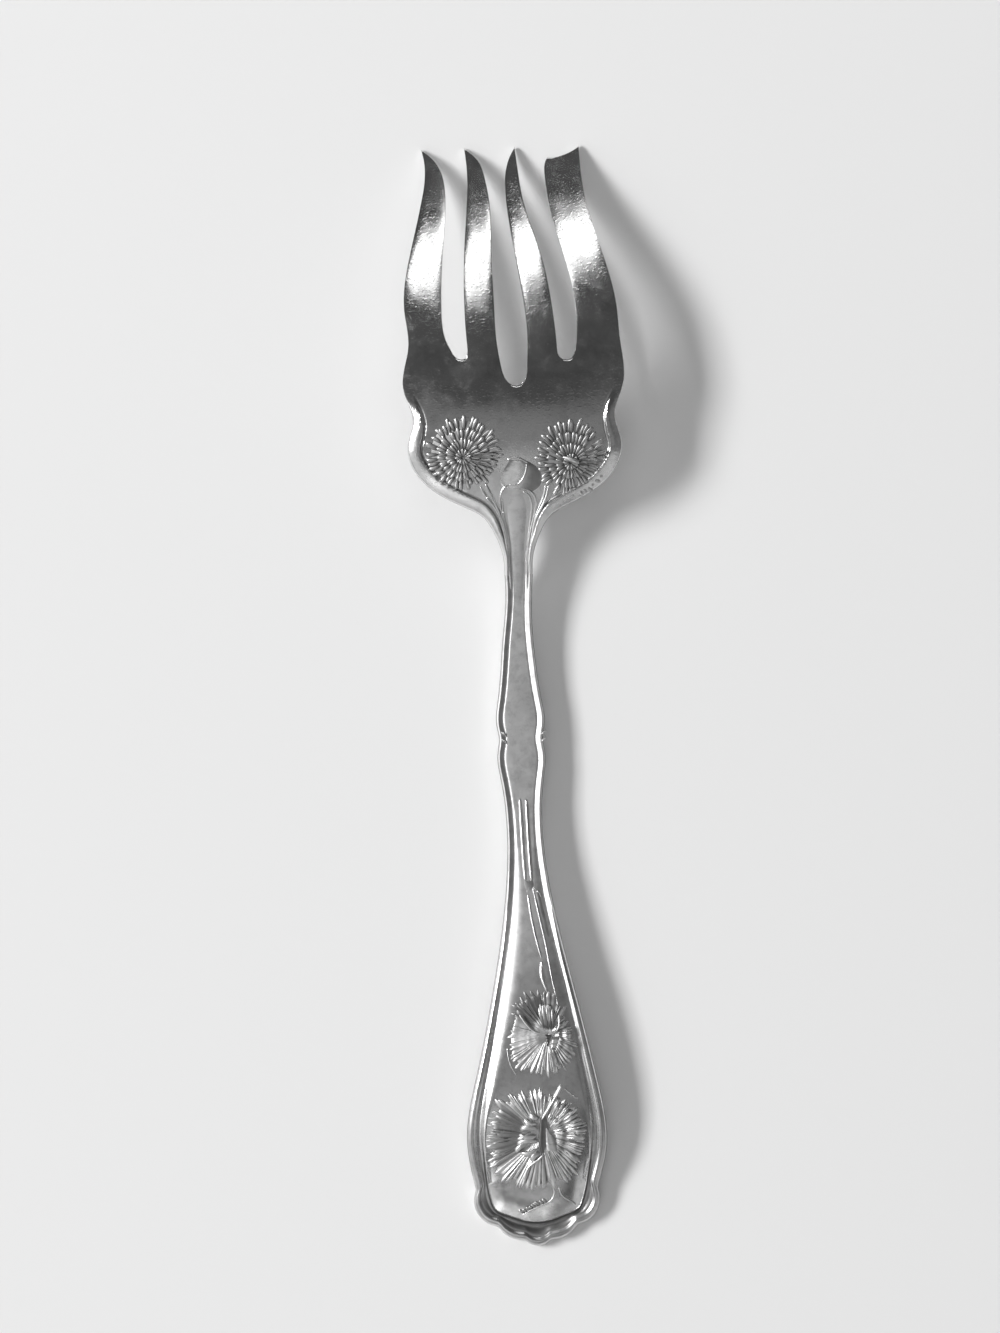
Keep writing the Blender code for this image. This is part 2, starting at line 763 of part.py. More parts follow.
# Flowers on the back of the bowl, each as large as the room inside the shoulder bead, and the
# stem that runs from the side of the tongue to each
shoulder = half_shoulder()
foot_y = STEM_FOOT_SHARE * TONGUE_LENGTH
foot_x = (half_tongue(foot_y) + GAP + smooth(shoulder, foot_y) - SHOULDER_BEAD) / 2
for label, x, drop, side in (
    ("left", LEFT_FLOWER_X, LEFT_FLOWER_DROP, -1),
    ("right", RIGHT_FLOWER_X, RIGHT_FLOWER_DROP, 1),
):
    centre = Vector((x, BULGE_Y - drop))
    rim = [Vector((side * smooth(shoulder, y), y)) for y in spread(0, CREST_Y, RIM_STEPS)]
    room = min((point - centre).length for point in rim) - SHOULDER_BEAD - FLOWER_MARGIN
    bloom = flower(bowl_back, centre, room, 1, BOWL_FLOWER_RISE)
    silver(new_object("bowl_flower_" + label, bloom, parts, fork), CHASED)
    foot = Vector((side * foot_x, foot_y))
    to_rim = (foot - centre).normalized() * (room + GAP + STEM_RADIUS)
    bow = Vector((side * STEM_RADIUS, 0))
    route = [foot, (foot + centre + to_rim) / 2 - bow, centre + to_rim]
    path = stem_path([(point.y, point.x) for point in route], bowl_back, BOWL_STEM_STEPS)
    stem = tube(path, [STEM_RADIUS] * len(path))
    silver(new_object("bowl_stem_" + label, stem, parts, fork), CHASED)

# Flowers on the handle, each as wide as the panel inside the border
for label, x, y, stretch in (
    ("upper", UPPER_FLOWER_X, FLARE_Y + UPPER_FLOWER_RISE_Y, UPPER_FLOWER_STRETCH),
    ("lower", LOWER_FLOWER_X, FLARE_Y, 1),
):
    room = panel_room(x, y)
    bloom = flower(handle_back, Vector((x, y)), room, stretch, HANDLE_FLOWER_RISE)
    silver(new_object("handle_flower_" + label, bloom, parts, fork), CHASED)

# Twin stems of the handle, side by side below the knop, tied, then bent aside to the upper flower
tie_y = KNOP_Y - TIE_DROP
flower_y = FLARE_Y + UPPER_FLOWER_RISE_Y
flower_top = flower_y + UPPER_FLOWER_STRETCH * panel_room(UPPER_FLOWER_X, flower_y)
end_y = flower_top + GAP + STEM_RADIUS
wires = []
for side in (-0.5, 0.5):
    aside = UPPER_FLOWER_X + TWIN_SPACING + side * TWIN_SPACING
    route = [
        (KNOP_Y - TWIN_FOOT_DROP, (side - TWIN_LEAN) * TWIN_SPACING),
        (tie_y, side * TWIN_SPACING),
        (tie_y + TWIN_BEND * (end_y - tie_y), aside),
        (end_y, aside),
    ]
    path = stem_path(route, handle_back, TWIN_STEPS)
    wires.append(tube(path, [STEM_RADIUS] * len(path)))
stems = new_object("handle_stems", wires[0], parts, fork)
boolean(stems, "UNION", new_object("second_stem", wires[1], cutters, fork))
tie = bmesh.new()
bmesh.ops.create_uvsphere(tie, u_segments=10, v_segments=6, radius=TIE_RADIUS)
tie_height = handle_back(0, tie_y) + GAP + TIE_RADIUS * 0.5
for vert in tie.verts:
    vert.co = (vert.co.x, tie_y + vert.co.y, tie_height + 0.5 * vert.co.z)
boolean(stems, "UNION", new_object("stem_tie", tie, cutters, fork))
silver(stems, CHASED)
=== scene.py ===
import bmesh
import bpy
import numpy as np
from mathutils import Matrix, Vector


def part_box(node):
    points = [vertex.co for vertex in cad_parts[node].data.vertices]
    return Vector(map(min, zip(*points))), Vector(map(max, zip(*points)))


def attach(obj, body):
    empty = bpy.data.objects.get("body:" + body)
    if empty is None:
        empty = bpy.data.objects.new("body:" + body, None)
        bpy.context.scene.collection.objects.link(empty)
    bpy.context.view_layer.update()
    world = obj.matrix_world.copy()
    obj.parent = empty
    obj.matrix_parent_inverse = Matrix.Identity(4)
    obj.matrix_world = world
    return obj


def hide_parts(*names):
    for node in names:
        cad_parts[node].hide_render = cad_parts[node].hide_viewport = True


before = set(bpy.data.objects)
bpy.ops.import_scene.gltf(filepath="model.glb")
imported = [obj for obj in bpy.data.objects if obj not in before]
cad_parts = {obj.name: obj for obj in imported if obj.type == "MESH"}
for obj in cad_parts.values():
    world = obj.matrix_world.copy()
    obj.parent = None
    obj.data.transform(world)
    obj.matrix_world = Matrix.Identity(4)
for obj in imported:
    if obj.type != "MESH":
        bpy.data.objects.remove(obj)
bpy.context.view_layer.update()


# Head: one plate of sheet silver, sawn to four tines that sweep to one side, the last of them broad
# with a hollowed end for cutting. It is bent and dished over a stake, its edges are rounded off, and
# a bead is chased along each shoulder. Lengths are millimetres from the soldered neck joint.
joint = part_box("head")[0].y


def batten(knots, at):
    """Value at a station of the line that a thin batten takes through (station, value) knots:
    a cubic on each span, with slope and curvature carried on from span to span."""
    knots = np.array(knots, float)
    s, v = knots[np.argsort(knots[:, 0])].T
    h = np.diff(s)
    mid = np.arange(1, len(s) - 1)
    spans, load = np.eye(len(s)), np.zeros(len(s))
    spans[mid, mid - 1], spans[mid, mid], spans[mid, mid + 1] = h[:-1], 2 * (h[:-1] + h[1:]), h[1:]
    load[mid] = 6 * np.diff(np.diff(v) / h)
    bend = np.linalg.solve(spans, load)
    at = np.clip(at, s[0], s[-1])
    k = np.clip(np.searchsorted(s, at, side="right") - 1, 0, len(h) - 1)
    far = (at - s[k]) / h[k]
    near = 1 - far
    return near * v[k] + far * v[k + 1] + ((near**3 - near) * bend[k] + (far**3 - far) * bend[k + 1]) * h[k] ** 2 / 6


def eased(knots, at):
    """Value at a station that goes from knot to knot with no overshoot, level at each knot."""
    knots = np.array(knots, float)
    s, v = knots[np.argsort(knots[:, 0])].T
    k = np.clip(np.searchsorted(s, at, side="right") - 1, 0, len(s) - 2)
    share = np.clip((at - s[k]) / (s[k + 1] - s[k]), 0, 1)
    return v[k] + (v[k + 1] - v[k]) * share**2 * (3 - 2 * share)


def straight(knots, at):
    """Value at a station on straight runs from knot to knot."""
    knots = np.array(knots, float)
    return np.interp(at, *knots[np.argsort(knots[:, 0])].T)


def drawn(points, step=0.15):
    """Smooth line through points, each coordinate a batten line over the length of the chords,
    and the place of each given point in it."""
    points = np.array(points, float)
    run = np.r_[0, np.cumsum(np.linalg.norm(np.diff(points, axis=0), axis=1))]
    at = np.unique(np.r_[np.arange(0, run[-1], step), run])
    line = np.stack([batten(np.c_[run, column], at) for column in points.T], axis=1)
    return line, np.searchsorted(at, run)


def away(line, x, y):
    """Distance of each place from a line: the least over the line's short straight pieces."""
    start, along = line[:-1], np.diff(line, axis=0)
    length = (along**2).sum(1)
    places = np.c_[np.ravel(x), np.ravel(y)]
    found = [
        np.sqrt(((to - np.clip((to * along).sum(2) / length, 0, 1)[..., None] * along) ** 2).sum(2).min(1))
        for to in (some[:, None] - start for some in np.array_split(places, len(places) // 1500 + 1))
    ]
    return np.concatenate(found).reshape(np.shape(x))


back_heights = [
    (84.3, 0.9), (72.4, 7.51), (60.5, 12.23), (48.6, 15.06), (36.7, 16.0), (25.5, 14.9), (8, 9.2), (0, 7.0),
    (-32, 4.7), (-52, 5.5), (-89.2, 8.0), (-112, 6.2), (-120.8, 4.1), (-132.2, 1.6),
]


def head_back(x, y):
    """Height of the plate's back: the bent line along the fork, less a dish that grows with the
    square of the distance from the middle."""
    bowl_half = 21.5
    dish = batten([(0, 0), (8, 0.7), (18, 1.7), (25.5, 2.05), (36, 1.9), (45, 1.3), (62, 0.5), (84.3, 0)], y)
    return batten(back_heights, y) - dish * (x / bowl_half) ** 2


def rounded(depth, radius):
    """Share of half the thickness that is filed off at a depth from the edge: a quarter round."""
    return 1 - np.sqrt(1 - np.clip(1 - depth / radius, 0, 1) ** 2)


def border(depth, bead, cove, slope, bead_rise, cove_sink, panel_rise, crest):
    """Chased border across its depth from the edge: a bead with an outer face that rises to its crest
    and a slope that falls behind it, a hollow cove, deepest near its far wall, and a rounded step up
    to the panel."""
    q = np.clip(depth / bead, 0, 1)
    climb, fall = np.clip(q / crest, 0, 1), np.clip((q - crest) / (1 - crest), 0, 1)
    hollow = np.clip((depth - bead) / cove, 0, 1)
    step = np.clip((depth - bead - cove) / slope, 0, 1)
    return (
        bead_rise * (1 - (1 - climb) ** 1.5 - 0.6 * fall - 0.4 * fall**2 * (3 - 2 * fall))
        - cove_sink * np.sin(np.pi * hollow**1.8)
        + panel_rise * (1 - (1 - step) ** 2.2)
    )


def grid_faces(rows, columns):
    """Four-cornered faces of a sheet of points, facing up when rows go up and columns go right."""
    at = np.arange(rows * columns).reshape(rows, columns)
    return np.stack([at[:-1, :-1], at[:-1, 1:], at[1:, 1:], at[1:, :-1]], axis=-1).reshape(-1, 4)


def sheets(x, y, back, front, grey):
    """Back and front sheet over the same net of places; where both have one height they join. Grey
    is the darkness of the back and of that joint: tarnish and painted shade."""
    faces = grid_faces(*x.shape)
    rim_grey = np.where(back == front, grey, 0)
    return [
        (np.stack([x, y, back], -1).reshape(-1, 3), faces, np.broadcast_to(grey, x.shape).ravel()),
        (np.stack([x, y, front], -1).reshape(-1, 3), faces[:, ::-1], rim_grey.ravel()),
    ]


def closing(x, y, front, back):
    """Strip that closes two sheets between their edge lines."""
    strip = np.stack([np.c_[x, y, front], np.c_[x, y, back]])
    return strip.reshape(-1, 3), grid_faces(2, len(x)), np.zeros(2 * len(x))


def cast(name, shells, crease=180):
    """One mesh from shells, each with its points in millimetres from the neck joint, its faces and
    the darkness of its points: points that meet are joined, faces are turned outwards, and edges
    that turn by more than the crease in degrees stay crisp."""
    first = np.cumsum([0] + [len(points) for points, _, _ in shells])
    points = np.concatenate([points for points, _, _ in shells]) * 0.001 + (0, joint, 0)
    faces = np.concatenate([faces + start for (_, faces, _), start in zip(shells, first)])
    mesh = bpy.data.meshes.new(name)
    mesh.vertices.add(len(points))
    mesh.vertices.foreach_set("co", points.ravel())
    mesh.loops.add(faces.size)
    mesh.loops.foreach_set("vertex_index", faces.ravel().astype(np.int32))
    mesh.polygons.add(len(faces))
    mesh.polygons.foreach_set("loop_start", np.arange(0, faces.size, 4, dtype=np.int32))
    mesh.update(calc_edges=True)
    dark = mesh.attributes.new("tarnish_and_painted_shade", "FLOAT", "POINT")
    dark.data.foreach_set("value", np.concatenate([grey for _, _, grey in shells]).astype(np.float32))
    joined = bmesh.new()
    joined.from_mesh(mesh)
    bmesh.ops.remove_doubles(joined, verts=joined.verts, dist=2e-7)
    bmesh.ops.recalc_face_normals(joined, faces=joined.faces)
    joined.to_mesh(mesh)
    joined.free()
    mesh.shade_smooth()
    mesh.set_sharp_from_angle(angle=np.radians(crease))
    piece = bpy.data.objects.new(name, mesh)
    bpy.context.scene.collection.objects.link(piece)
    return piece


shoulder = [
    (2.77, 0), (2.91, 3.2), (4.47, 8), (6.67, 11.33), (9.93, 13.25), (13.16, 14.83), (16.23, 16.75), (19.39, 20.08),
    (20.9, 25.5), (19.74, 30.2), (21.5, 36.7),
]
tine_at = np.array([44.924, 51.772, 62.044, 73.6, 78.308, 81.732])
tine_middle = np.array([
    (-16.34, -17.157, -16.34, -14.534, -14.362, -15.136),
    (-5.848, -6.149, -6.149, -5.805, -6.106, -6.794),
    (5.848, 5.332, 3.698, 1.333, 0.989, 1.204),
    (16.813, 16.598, 14.405, 11.524, 11.008, 11.18),
])
tine_width = np.array([
    (7.828, 7.372, 6.612, 4.788, 3.648, 2.204),
    (5.90, 5.90, 5.487, 4.425, 3.481, 2.419),
    (5.723, 5.487, 5.192, 3.422, 2.714, 1.593),
    (8.692, 8.118, 7.79, 7.462, 7.298, 6.56),
])
tine_tip = [[(-16.77, 84.3)] * 2, [(-8.30, 84.3)] * 2, [(1.72, 84.3)] * 2, [(8.15, 82.04), (14.36, 84.3)]]
slots = [
    [(-11.9, 43.9), (-11.2, 42.7), (-10.1, 42.1), (-9.15, 42.3), (-8.8, 43.1)],
    [(-2.3, 40.87), (-1.68, 38.49), (-0.88, 37.28), (0.45, 36.65), (1.92, 37.2), (2.55, 38.36), (2.81, 40.72)],
    [(8.8, 43.4), (9.1, 42.2), (10.25, 41.5), (11.5, 41.8), (12.15, 43.1)],
]
left_edge = [np.c_[m - w / 2, tine_at] for m, w in zip(tine_middle, tine_width)]
right_edge = [np.c_[m + w / 2, tine_at] for m, w in zip(tine_middle, tine_width)]
left_side, _ = drawn(np.r_[np.array(shoulder) * (-1, 1), left_edge[0], tine_tip[0][:1]])
right_side, _ = drawn(np.r_[np.array(shoulder), right_edge[3], tine_tip[3][1:]])


def across_at(line, height):
    """Sideways place of a line at a height, on straight runs between its points."""
    return np.interp(height, line[:, 1], line[:, 0])


def above(side, height):
    """Part of a side line from a height up to its tip."""
    return np.r_[[(across_at(side, height), height)], side[side[:, 1] > height]]


# Sides of the tines and arcs of the slots. The deep middle slot leaves its end points to the tines.
left_run, right_run, slot_arc = [above(left_side, slots[0][0][1])], [], []
for n, slot in enumerate(slots):
    line, at = drawn(np.r_[tine_tip[n][1:], right_edge[n][::-1], slot, left_edge[n + 1], tine_tip[n + 1][:1]])
    trim = 1 if n == 1 else 0
    first = 1 + len(tine_at) + trim
    last = len(tine_at) + len(slot) - trim
    right_run.append(line[: at[first] + 1][::-1])
    slot_arc.append(line[at[first] : at[last] + 1])
    left_run.append(line[at[last] :])
right_run.append(above(right_side, slots[2][-1][1]))

# Columns across the tines: close at all edges, and close over the whole border on the outer two.
border_reach, root_wide = 3.2, 8.3
inner = (1 - np.cos(np.pi * np.linspace(0, 1, 33))) / 2
outer = np.r_[
    0, 0.03, 0.08, np.linspace(0.16, border_reach, 22),
    border_reach + (root_wide - border_reach) * np.sin(np.pi / 2 * np.linspace(0, 1, 15)[1:]),
] / root_wide
spreads = [outer, inner, inner, 1 - outer[::-1]]
tines = list(zip(left_run, right_run, spreads))
roots = [left[0] + (right[0] - left[0]) * spread[:, None] for left, right, spread in tines]
arcs = [arc[np.linspace(0, len(arc) - 1, 21).round().astype(int)] for arc in slot_arc]
top = np.concatenate([roots[0]] + [part for arc, root in zip(arcs, roots[1:]) for part in (arc[1:-1], root)])

# Rows of the plate: level and close where the shoulders slant, then bent up to the tines and slots.
low, rows_up = 28.0, np.linspace(0, 1, 37)
level = np.r_[np.linspace(0, 10, 23)[:-1], np.linspace(10, 21, 71)[:-1], np.linspace(21, low, 27)[:-1]]
climb = 0.75 * (1 - (1 - rows_up) ** 2) + 0.25 * rows_up
plate_y = np.r_[np.repeat(level[:, None], len(top), 1), low + (top[:, 1] - low) * climb[:, None]]
start, stop = across_at(left_side, top[:, 1]), across_at(right_side, top[:, 1])
share = (top[:, 0] - start) / (stop - start)
start, stop = across_at(left_side, plate_y), across_at(right_side, plate_y)
plate_x = start + share * (stop - start)
plate_x[-1] = top[:, 0]

# Nets of places: the plate's, then each tine's, whose rows close up to the tip and, on the cutting
# tine, sag to its hollowed end.
nets = [(plate_x, plate_y)]
cutting, hollowed = 3, 0.75
rise = np.linspace(0, 1, 100)
rise = 0.8 * rise + 0.2 * (1 - (1 - rise) ** 2)
for n, (left, right, spread) in enumerate(tines):
    left_y = left[0, 1] + (left[-1, 1] - left[0, 1]) * rise
    right_y = right[0, 1] + (right[-1, 1] - right[0, 1]) * rise
    left_x, right_x = across_at(left, left_y), across_at(right, right_y)
    hollow = (hollowed if n == cutting else 0) * np.clip((rise - 0.9) / 0.1, 0, 1) ** 2
    nets.append((
        left_x[:, None] + (right_x - left_x)[:, None] * spread,
        left_y[:, None] + (right_y - left_y)[:, None] * spread - 4 * (spread * (1 - spread)) * hollow[:, None],
    ))
cut_end = np.c_[nets[-1][0][-1], nets[-1][1][-1]]
edge = [left_side, right_side, cut_end, *right_run[:3], *left_run[1:], *slot_arc]

# Both sheets of each net: beads, grooves and filed slot ends on the plate, rolled edges on the tines.
slant_wide, slant_high, slant_deep, rolled_off = 0.5, 0.7, 0.3, 0.11
shells = []
for n, (x, y) in enumerate(nets):
    depth = np.min([away(line, x, y) for line in edge], axis=0)
    depth[:, [0, -1]] = 0
    if n == 0:
        beside = np.minimum(away(left_side, x, y), away(right_side, x, y))
        groove = straight([(0, 1.15), (8, 1.4), (14, 2.3), (20, 2.7), (27, 2.5), (36, 1.4)], y)
        crest = straight([(0, 0.45), (8, 0.7), (14, 0.88)], y)
        raised = border(beside, groove, 0.4, 0.4, bead_rise=0.6, cove_sink=0.16, panel_rise=0, crest=crest)
        raised = raised * eased([(30, 1), (35.5, 0)], y)
        polish_and_shade = -0.25 * np.clip(raised / 0.3, 0, 1)
        # The groove beside each bead is darkened: tarnish and painted shade.
        tarnish_and_shade = np.clip(1 - np.abs(beside - groove) / 0.4, 0, 1) * eased([(28, 1), (34, 0)], y)
        polish_and_shade = polish_and_shade + (0.8 - polish_and_shade) * tarnish_and_shade
        for arc in slot_arc:
            foot = arc[:, 1].min()
            slanted = np.clip(1 - away(arc, x, y) / slant_wide, 0, 1) ** 2
            raised = raised - slant_deep * slanted * eased([(foot, 1), (foot + slant_high, 0)], y)
        depth[-1, np.isin(top[:, 0], np.concatenate(arcs)[:, 0])] = 0
    else:
        fade = eased([(0, 0), (0.3, 1), (0.85, 1), (1, 0.3)], rise)[:, None]
        raised = -rolled_off * np.abs(2 * spreads[n - 1] - 1) ** 5 * fade
        polish_and_shade = 0 * x
        if n - 1 == cutting:
            depth[-1] = 0
    thick = batten([(0, 3.4), (8, 2.7), (25.5, 2.0), (41.5, 1.8), (84.3, 0.9)], y)
    # Painted shade: the plate's edges below the tines are darkened to a dark outline.
    polish_and_shade = polish_and_shade + (0.6 - polish_and_shade) * np.clip(1.2 - depth / 0.15, 0, 1) * (y < 36)
    filed = thick / 2 * rounded(depth, straight([(0, 0.5), (12, 0.3), (30, 0.15), (36, 0.06)], y))
    rim = np.where(depth == 0, raised, 0)
    shells += sheets(x, y, head_back(x, y) + raised - filed, head_back(x, y) + rim - thick + filed, polish_and_shade)
neck_back, neck_front = (shells[side][0][: len(top)] for side in (0, 1))
shells.append(closing(neck_back[:, 0], neck_back[:, 1], neck_front[:, 2], neck_back[:, 2]))
head = cast("head_plate", shells, 40)


def silver(name, tone, bright, dull, patch, scratch, satin=((0, 0), (1, 0))):
    """Silver cleaned by hand for years: polish that wanders between bright and dull in soft patches
    and specks, a film of tone that wanders with it, and hair scratches and dents as a fine bump. The
    attribute darkens the colour with tarnish kept in recesses and with painted shade, and, below nought,
    marks where a bead is rubbed to a finer polish. Patch is the patches to a metre, scratch the bump's
    depth in metres. Satin gives two (place along the fork, extra dullness) ends in millimetres."""
    material = bpy.data.materials.new(name)
    material.use_nodes = True
    nodes, links = material.node_tree.nodes, material.node_tree.links
    shader = nodes["Principled BSDF"]
    shader.inputs["Metallic"].default_value = 1.0
    place = nodes.new("ShaderNodeTexCoord")

    def cloud(scale, detail, rough, stretch=(1, 1, 1), turn=0.0):
        """Noise over the piece's own place, stretched along its axes and turned about the upright one."""
        mapped = nodes.new("ShaderNodeMapping")
        mapped.inputs["Scale"].default_value = stretch
        mapped.inputs["Rotation"].default_value[2] = turn
        noise = nodes.new("ShaderNodeTexNoise")
        noise.inputs["Scale"].default_value = scale
        noise.inputs["Detail"].default_value = detail
        noise.inputs["Roughness"].default_value = rough
        links.new(place.outputs["Object"], mapped.inputs["Vector"])
        links.new(mapped.outputs["Vector"], noise.inputs["Vector"])
        return noise.outputs["Fac"]

    def span(value, low_in, high_in, low_out, high_out):
        """Value taken from one range to another by a smooth step, held at its ends."""
        node = nodes.new("ShaderNodeMapRange")
        node.interpolation_type = "SMOOTHSTEP"
        for socket, number in zip(("From Min", "From Max", "To Min", "To Max"), (low_in, high_in, low_out, high_out)):
            node.inputs[socket].default_value = number
        links.new(value, node.inputs["Value"])
        return node.outputs["Result"]

    def sum_of(a, b):
        """Sum of two values."""
        node = nodes.new("ShaderNodeMath")
        links.new(a, node.inputs[0])
        links.new(b, node.inputs[1])
        return node.outputs["Value"]

    darkness_attribute = nodes.new("ShaderNodeAttribute")
    darkness_attribute.attribute_name = "tarnish_and_painted_shade"
    patches = cloud(patch, 4, 0.6)
    specks = cloud(patch * 4, 4, 0.7)
    wander = sum_of(span(patches, 0.35, 0.7, bright, dull), span(specks, 0.5, 0.8, 0, dull - bright))
    along = nodes.new("ShaderNodeSeparateXYZ")
    links.new(place.outputs["Object"], along.inputs["Vector"])
    (near, near_dull), (far, far_dull) = satin
    worn = sum_of(
        span(darkness_attribute.outputs["Fac"], -1, 1, -0.1, 0.25),
        span(along.outputs["Y"], joint + near / 1000, joint + far / 1000, near_dull, far_dull),
    )
    links.new(sum_of(wander, worn), shader.inputs["Roughness"])

    film = nodes.new("ShaderNodeMix")
    film.data_type = "RGBA"
    film.inputs["A"].default_value = (*(tone,) * 3, 1)
    film.inputs["B"].default_value = (*(tone * 0.78,) * 3, 1)
    links.new(span(cloud(patch * 1.7, 5, 0.65), 0.4, 0.75, 0, 1), film.inputs["Factor"])
    # Tarnish and painted shade: above 0.1 the attribute mixes the colour towards near black.
    darkened = nodes.new("ShaderNodeMix")
    darkened.data_type = "RGBA"
    darkened.inputs["B"].default_value = (0.035, 0.034, 0.033, 1)
    links.new(film.outputs["Result"], darkened.inputs["A"])
    links.new(span(darkness_attribute.outputs["Fac"], 0.1, 1, 0, 0.93), darkened.inputs["Factor"])
    links.new(darkened.outputs["Result"], shader.inputs["Base Color"])

    hairs = sum_of(cloud(900, 2, 0.6, (1, 0.05, 1), 0.35), cloud(1100, 2, 0.6, (0.06, 1, 1), -0.5))
    dents = span(cloud(2100, 1, 0.5), 0.54, 0.74, 0, 3)
    bump = nodes.new("ShaderNodeBump")
    bump.inputs["Strength"].default_value = 1.0
    bump.inputs["Distance"].default_value = scratch
    links.new(sum_of(hairs, sum_of(specks, dents)), bump.inputs["Height"])
    links.new(bump.outputs["Normal"], shader.inputs["Normal"])
    return material


head.data.materials.append(silver("head_polish", 0.84, 0.06, 0.14, 130, 2.6e-6, ((2, 0.26), (36, 0))))
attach(head, "root")
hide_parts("head")


# Handle: a bar of silver struck in a die, narrow at the neck, knotted half way and flaring to a
# scalloped end, with a bead along its edge, a cove beside it and a raised panel inside. Its tongue
# lies on the head's back, where the neck is soldered.
half_width = [
    (0, 2.77), (-3.84, 2.6), (-14.72, 3.209), (-24.64, 4.322), (-29.76, 4.7), (-32, 4.3), (-35, 4.7), (-40, 4.263),
    (-52, 3.55), (-68.8, 5.488), (-83.8, 8.548), (-98.8, 11.914), (-112, 13.75), (-118.16, 12.67), (-120.8, 11.95),
]


def lobe(start, stop, bulge, count):
    """Arc of a circle from start to stop that stands out by bulge in its middle."""
    start, stop = np.array(start), np.array(stop)
    half = np.linalg.norm(stop - start) / 2
    radius = (half**2 + bulge**2) / (2 * bulge)
    swing = np.arcsin(half / radius) * np.linspace(-1, 1, count)[:, None]
    along = (stop - start) / (2 * half)
    out = np.array([along[1], -along[0]])
    return (start + stop) / 2 + along * radius * np.sin(swing) + out * (radius * np.cos(swing) - radius + bulge)


broadest, bar_rows = -112, 300
notch, outer_kink, inner_kink = (11.95, -120.8), (7.77, -128.1), (2.51, -130.95)
flank_y = np.r_[np.linspace(0, broadest, bar_rows), np.linspace(broadest, notch[1], 26)[1:]]
flank = np.c_[batten(half_width, flank_y), flank_y]
end = np.concatenate([
    lobe(outer_kink, notch, 2.2, 30)[::-1][1:],
    lobe(inner_kink, outer_kink, 0.9, 18)[::-1][1:],
    lobe((-2.51, -130.95), inner_kink, 1.2, 21)[::-1][1:11],
])
rim = np.r_[flank, end]

# The die's corners are soft: each point of the rim becomes a weighted mean of itself and its neighbours.
soft = np.exp(-0.5 * (np.arange(-6, 7) / 1.3) ** 2)
mirrored = np.r_[rim, rim[-2:-8:-1] * (-1, 1)]
rim[6:] = np.stack([np.convolve(column, soft / soft.sum(), "valid") for column in mirrored.T], axis=1)

# Ribs go in from the rim to hubs on the middle line: level along the bar, then turning round the end.
hub_run, end_run = 7.07, 30
turned = np.clip((np.arange(len(rim)) - bar_rows) / (len(rim) - 1 - bar_rows), 0, 1)
hub = np.c_[np.zeros(len(rim)), np.where(turned > 0, broadest - hub_run * turned, rim[:, 1])]
place = np.where(turned > 0, broadest - end_run * turned, rim[:, 1])


def by_place(knots):
    """Value at each place round the rim, on straight runs: places go on as lengths round the end."""
    return straight(knots, place)[:, None]


bead_face = [(0, 0.35), (-55, 0.3), (-60, 0.35), (-66, 0.55), (-75, 1.0), (-112, 1.15), (-126, 1.2), (-142, 1.1)]
bead_back = [(0, 0.9), (-60, 1.0), (-66, 0.85), (-75, 0.4), (-90, 0.45), (-112, 0.6), (-142, 0.7)]
cove_side = [(0, 0.3), (-52, 0.25), (-80, 0.3), (-95, 0.7), (-112, 1.1)]
slope_side = [
    (0, 0.4), (-52, 0.4), (-58, 1.2), (-66, 2.3), (-75, 3.0), (-85, 3.6), (-97, 3.0), (-106, 1.4), (-112, 0.8),
    (-120, 0.45), (-142, 0.4),
]
panel_high = [(0, 0), (-45, 0.05), (-64, 0.35), (-85, 0.75), (-142, 0.75)]
face_wide = by_place(bead_face)
bead_wide = face_wide + by_place(bead_back)
slope_wide, panel_up = by_place(slope_side), by_place(panel_high)
bead_up = by_place([(0, 0.5), (-62, 0.5), (-75, 0.3), (-112, 0.3), (-120, 0.45), (-126, 0.5)])
cove_down = by_place([(0, 0.1), (-52, 0.12), (-112, 0.2), (-142, 0.6)])
side_foot = rim[:, :1] - bead_wide - slope_wide - by_place(cove_side)
end_foot = np.array([
    (0, 10.1, -112), (0.3, 9.6, -119), (0.5, 8.9, -122.6), (0.62, 7.9, -124.7), (0.72, 6.0, -125.6),
    (0.87, 2.6, -126.8), (1, 0, -127.1),
])
end_x, end_y = (batten(end_foot[:, [0, i]], turned) for i in (1, 2))
foot = np.where(turned[:, None] > 0, np.c_[end_x, end_y], np.c_[side_foot, rim[:, 1:]])
leg, inside = foot - rim, hub - foot
border_wide, panel_wide = np.linalg.norm(leg, axis=1)[:, None], np.linalg.norm(inside, axis=1)[:, None]
cove_wide = border_wide - bead_wide - slope_wide
bead_part = (1 - np.cos(np.pi * np.linspace(0, 1, 13))) / 2
depth = np.hstack([
    bead_wide * bead_part,
    bead_wide + cove_wide * np.linspace(0, 1, 10)[1:],
    bead_wide + cove_wide + slope_wide * np.linspace(0, 1, 9)[1:],
])
left_over = np.linspace(0, 1, 13)[1:]
x, y = (
    np.hstack([rim[:, [i]] + leg[:, [i]] / border_wide * depth, foot[:, [i]] + inside[:, [i]] * left_over])
    for i in (0, 1)
)
depth = np.hstack([depth, border_wide + panel_wide * left_over])
raised = border(depth, bead_wide, cove_wide, slope_wide, bead_up, cove_down, panel_up, face_wide / bead_wide)
past = depth - border_wide
roll = np.clip(1 - past / 4, 0, 1) ** 2 * np.clip((past + slope_wide) / slope_wide, 0, 1)
raised -= roll * by_place([(-112, 0), (-122, 0.5), (-142, 0.5)])


def handle_line(x, y):
    """Height of the handle's back without its border: the bent line, less a slight crown."""
    handle_half = 13.75
    return batten(back_heights, y) - (x / handle_half) ** 2


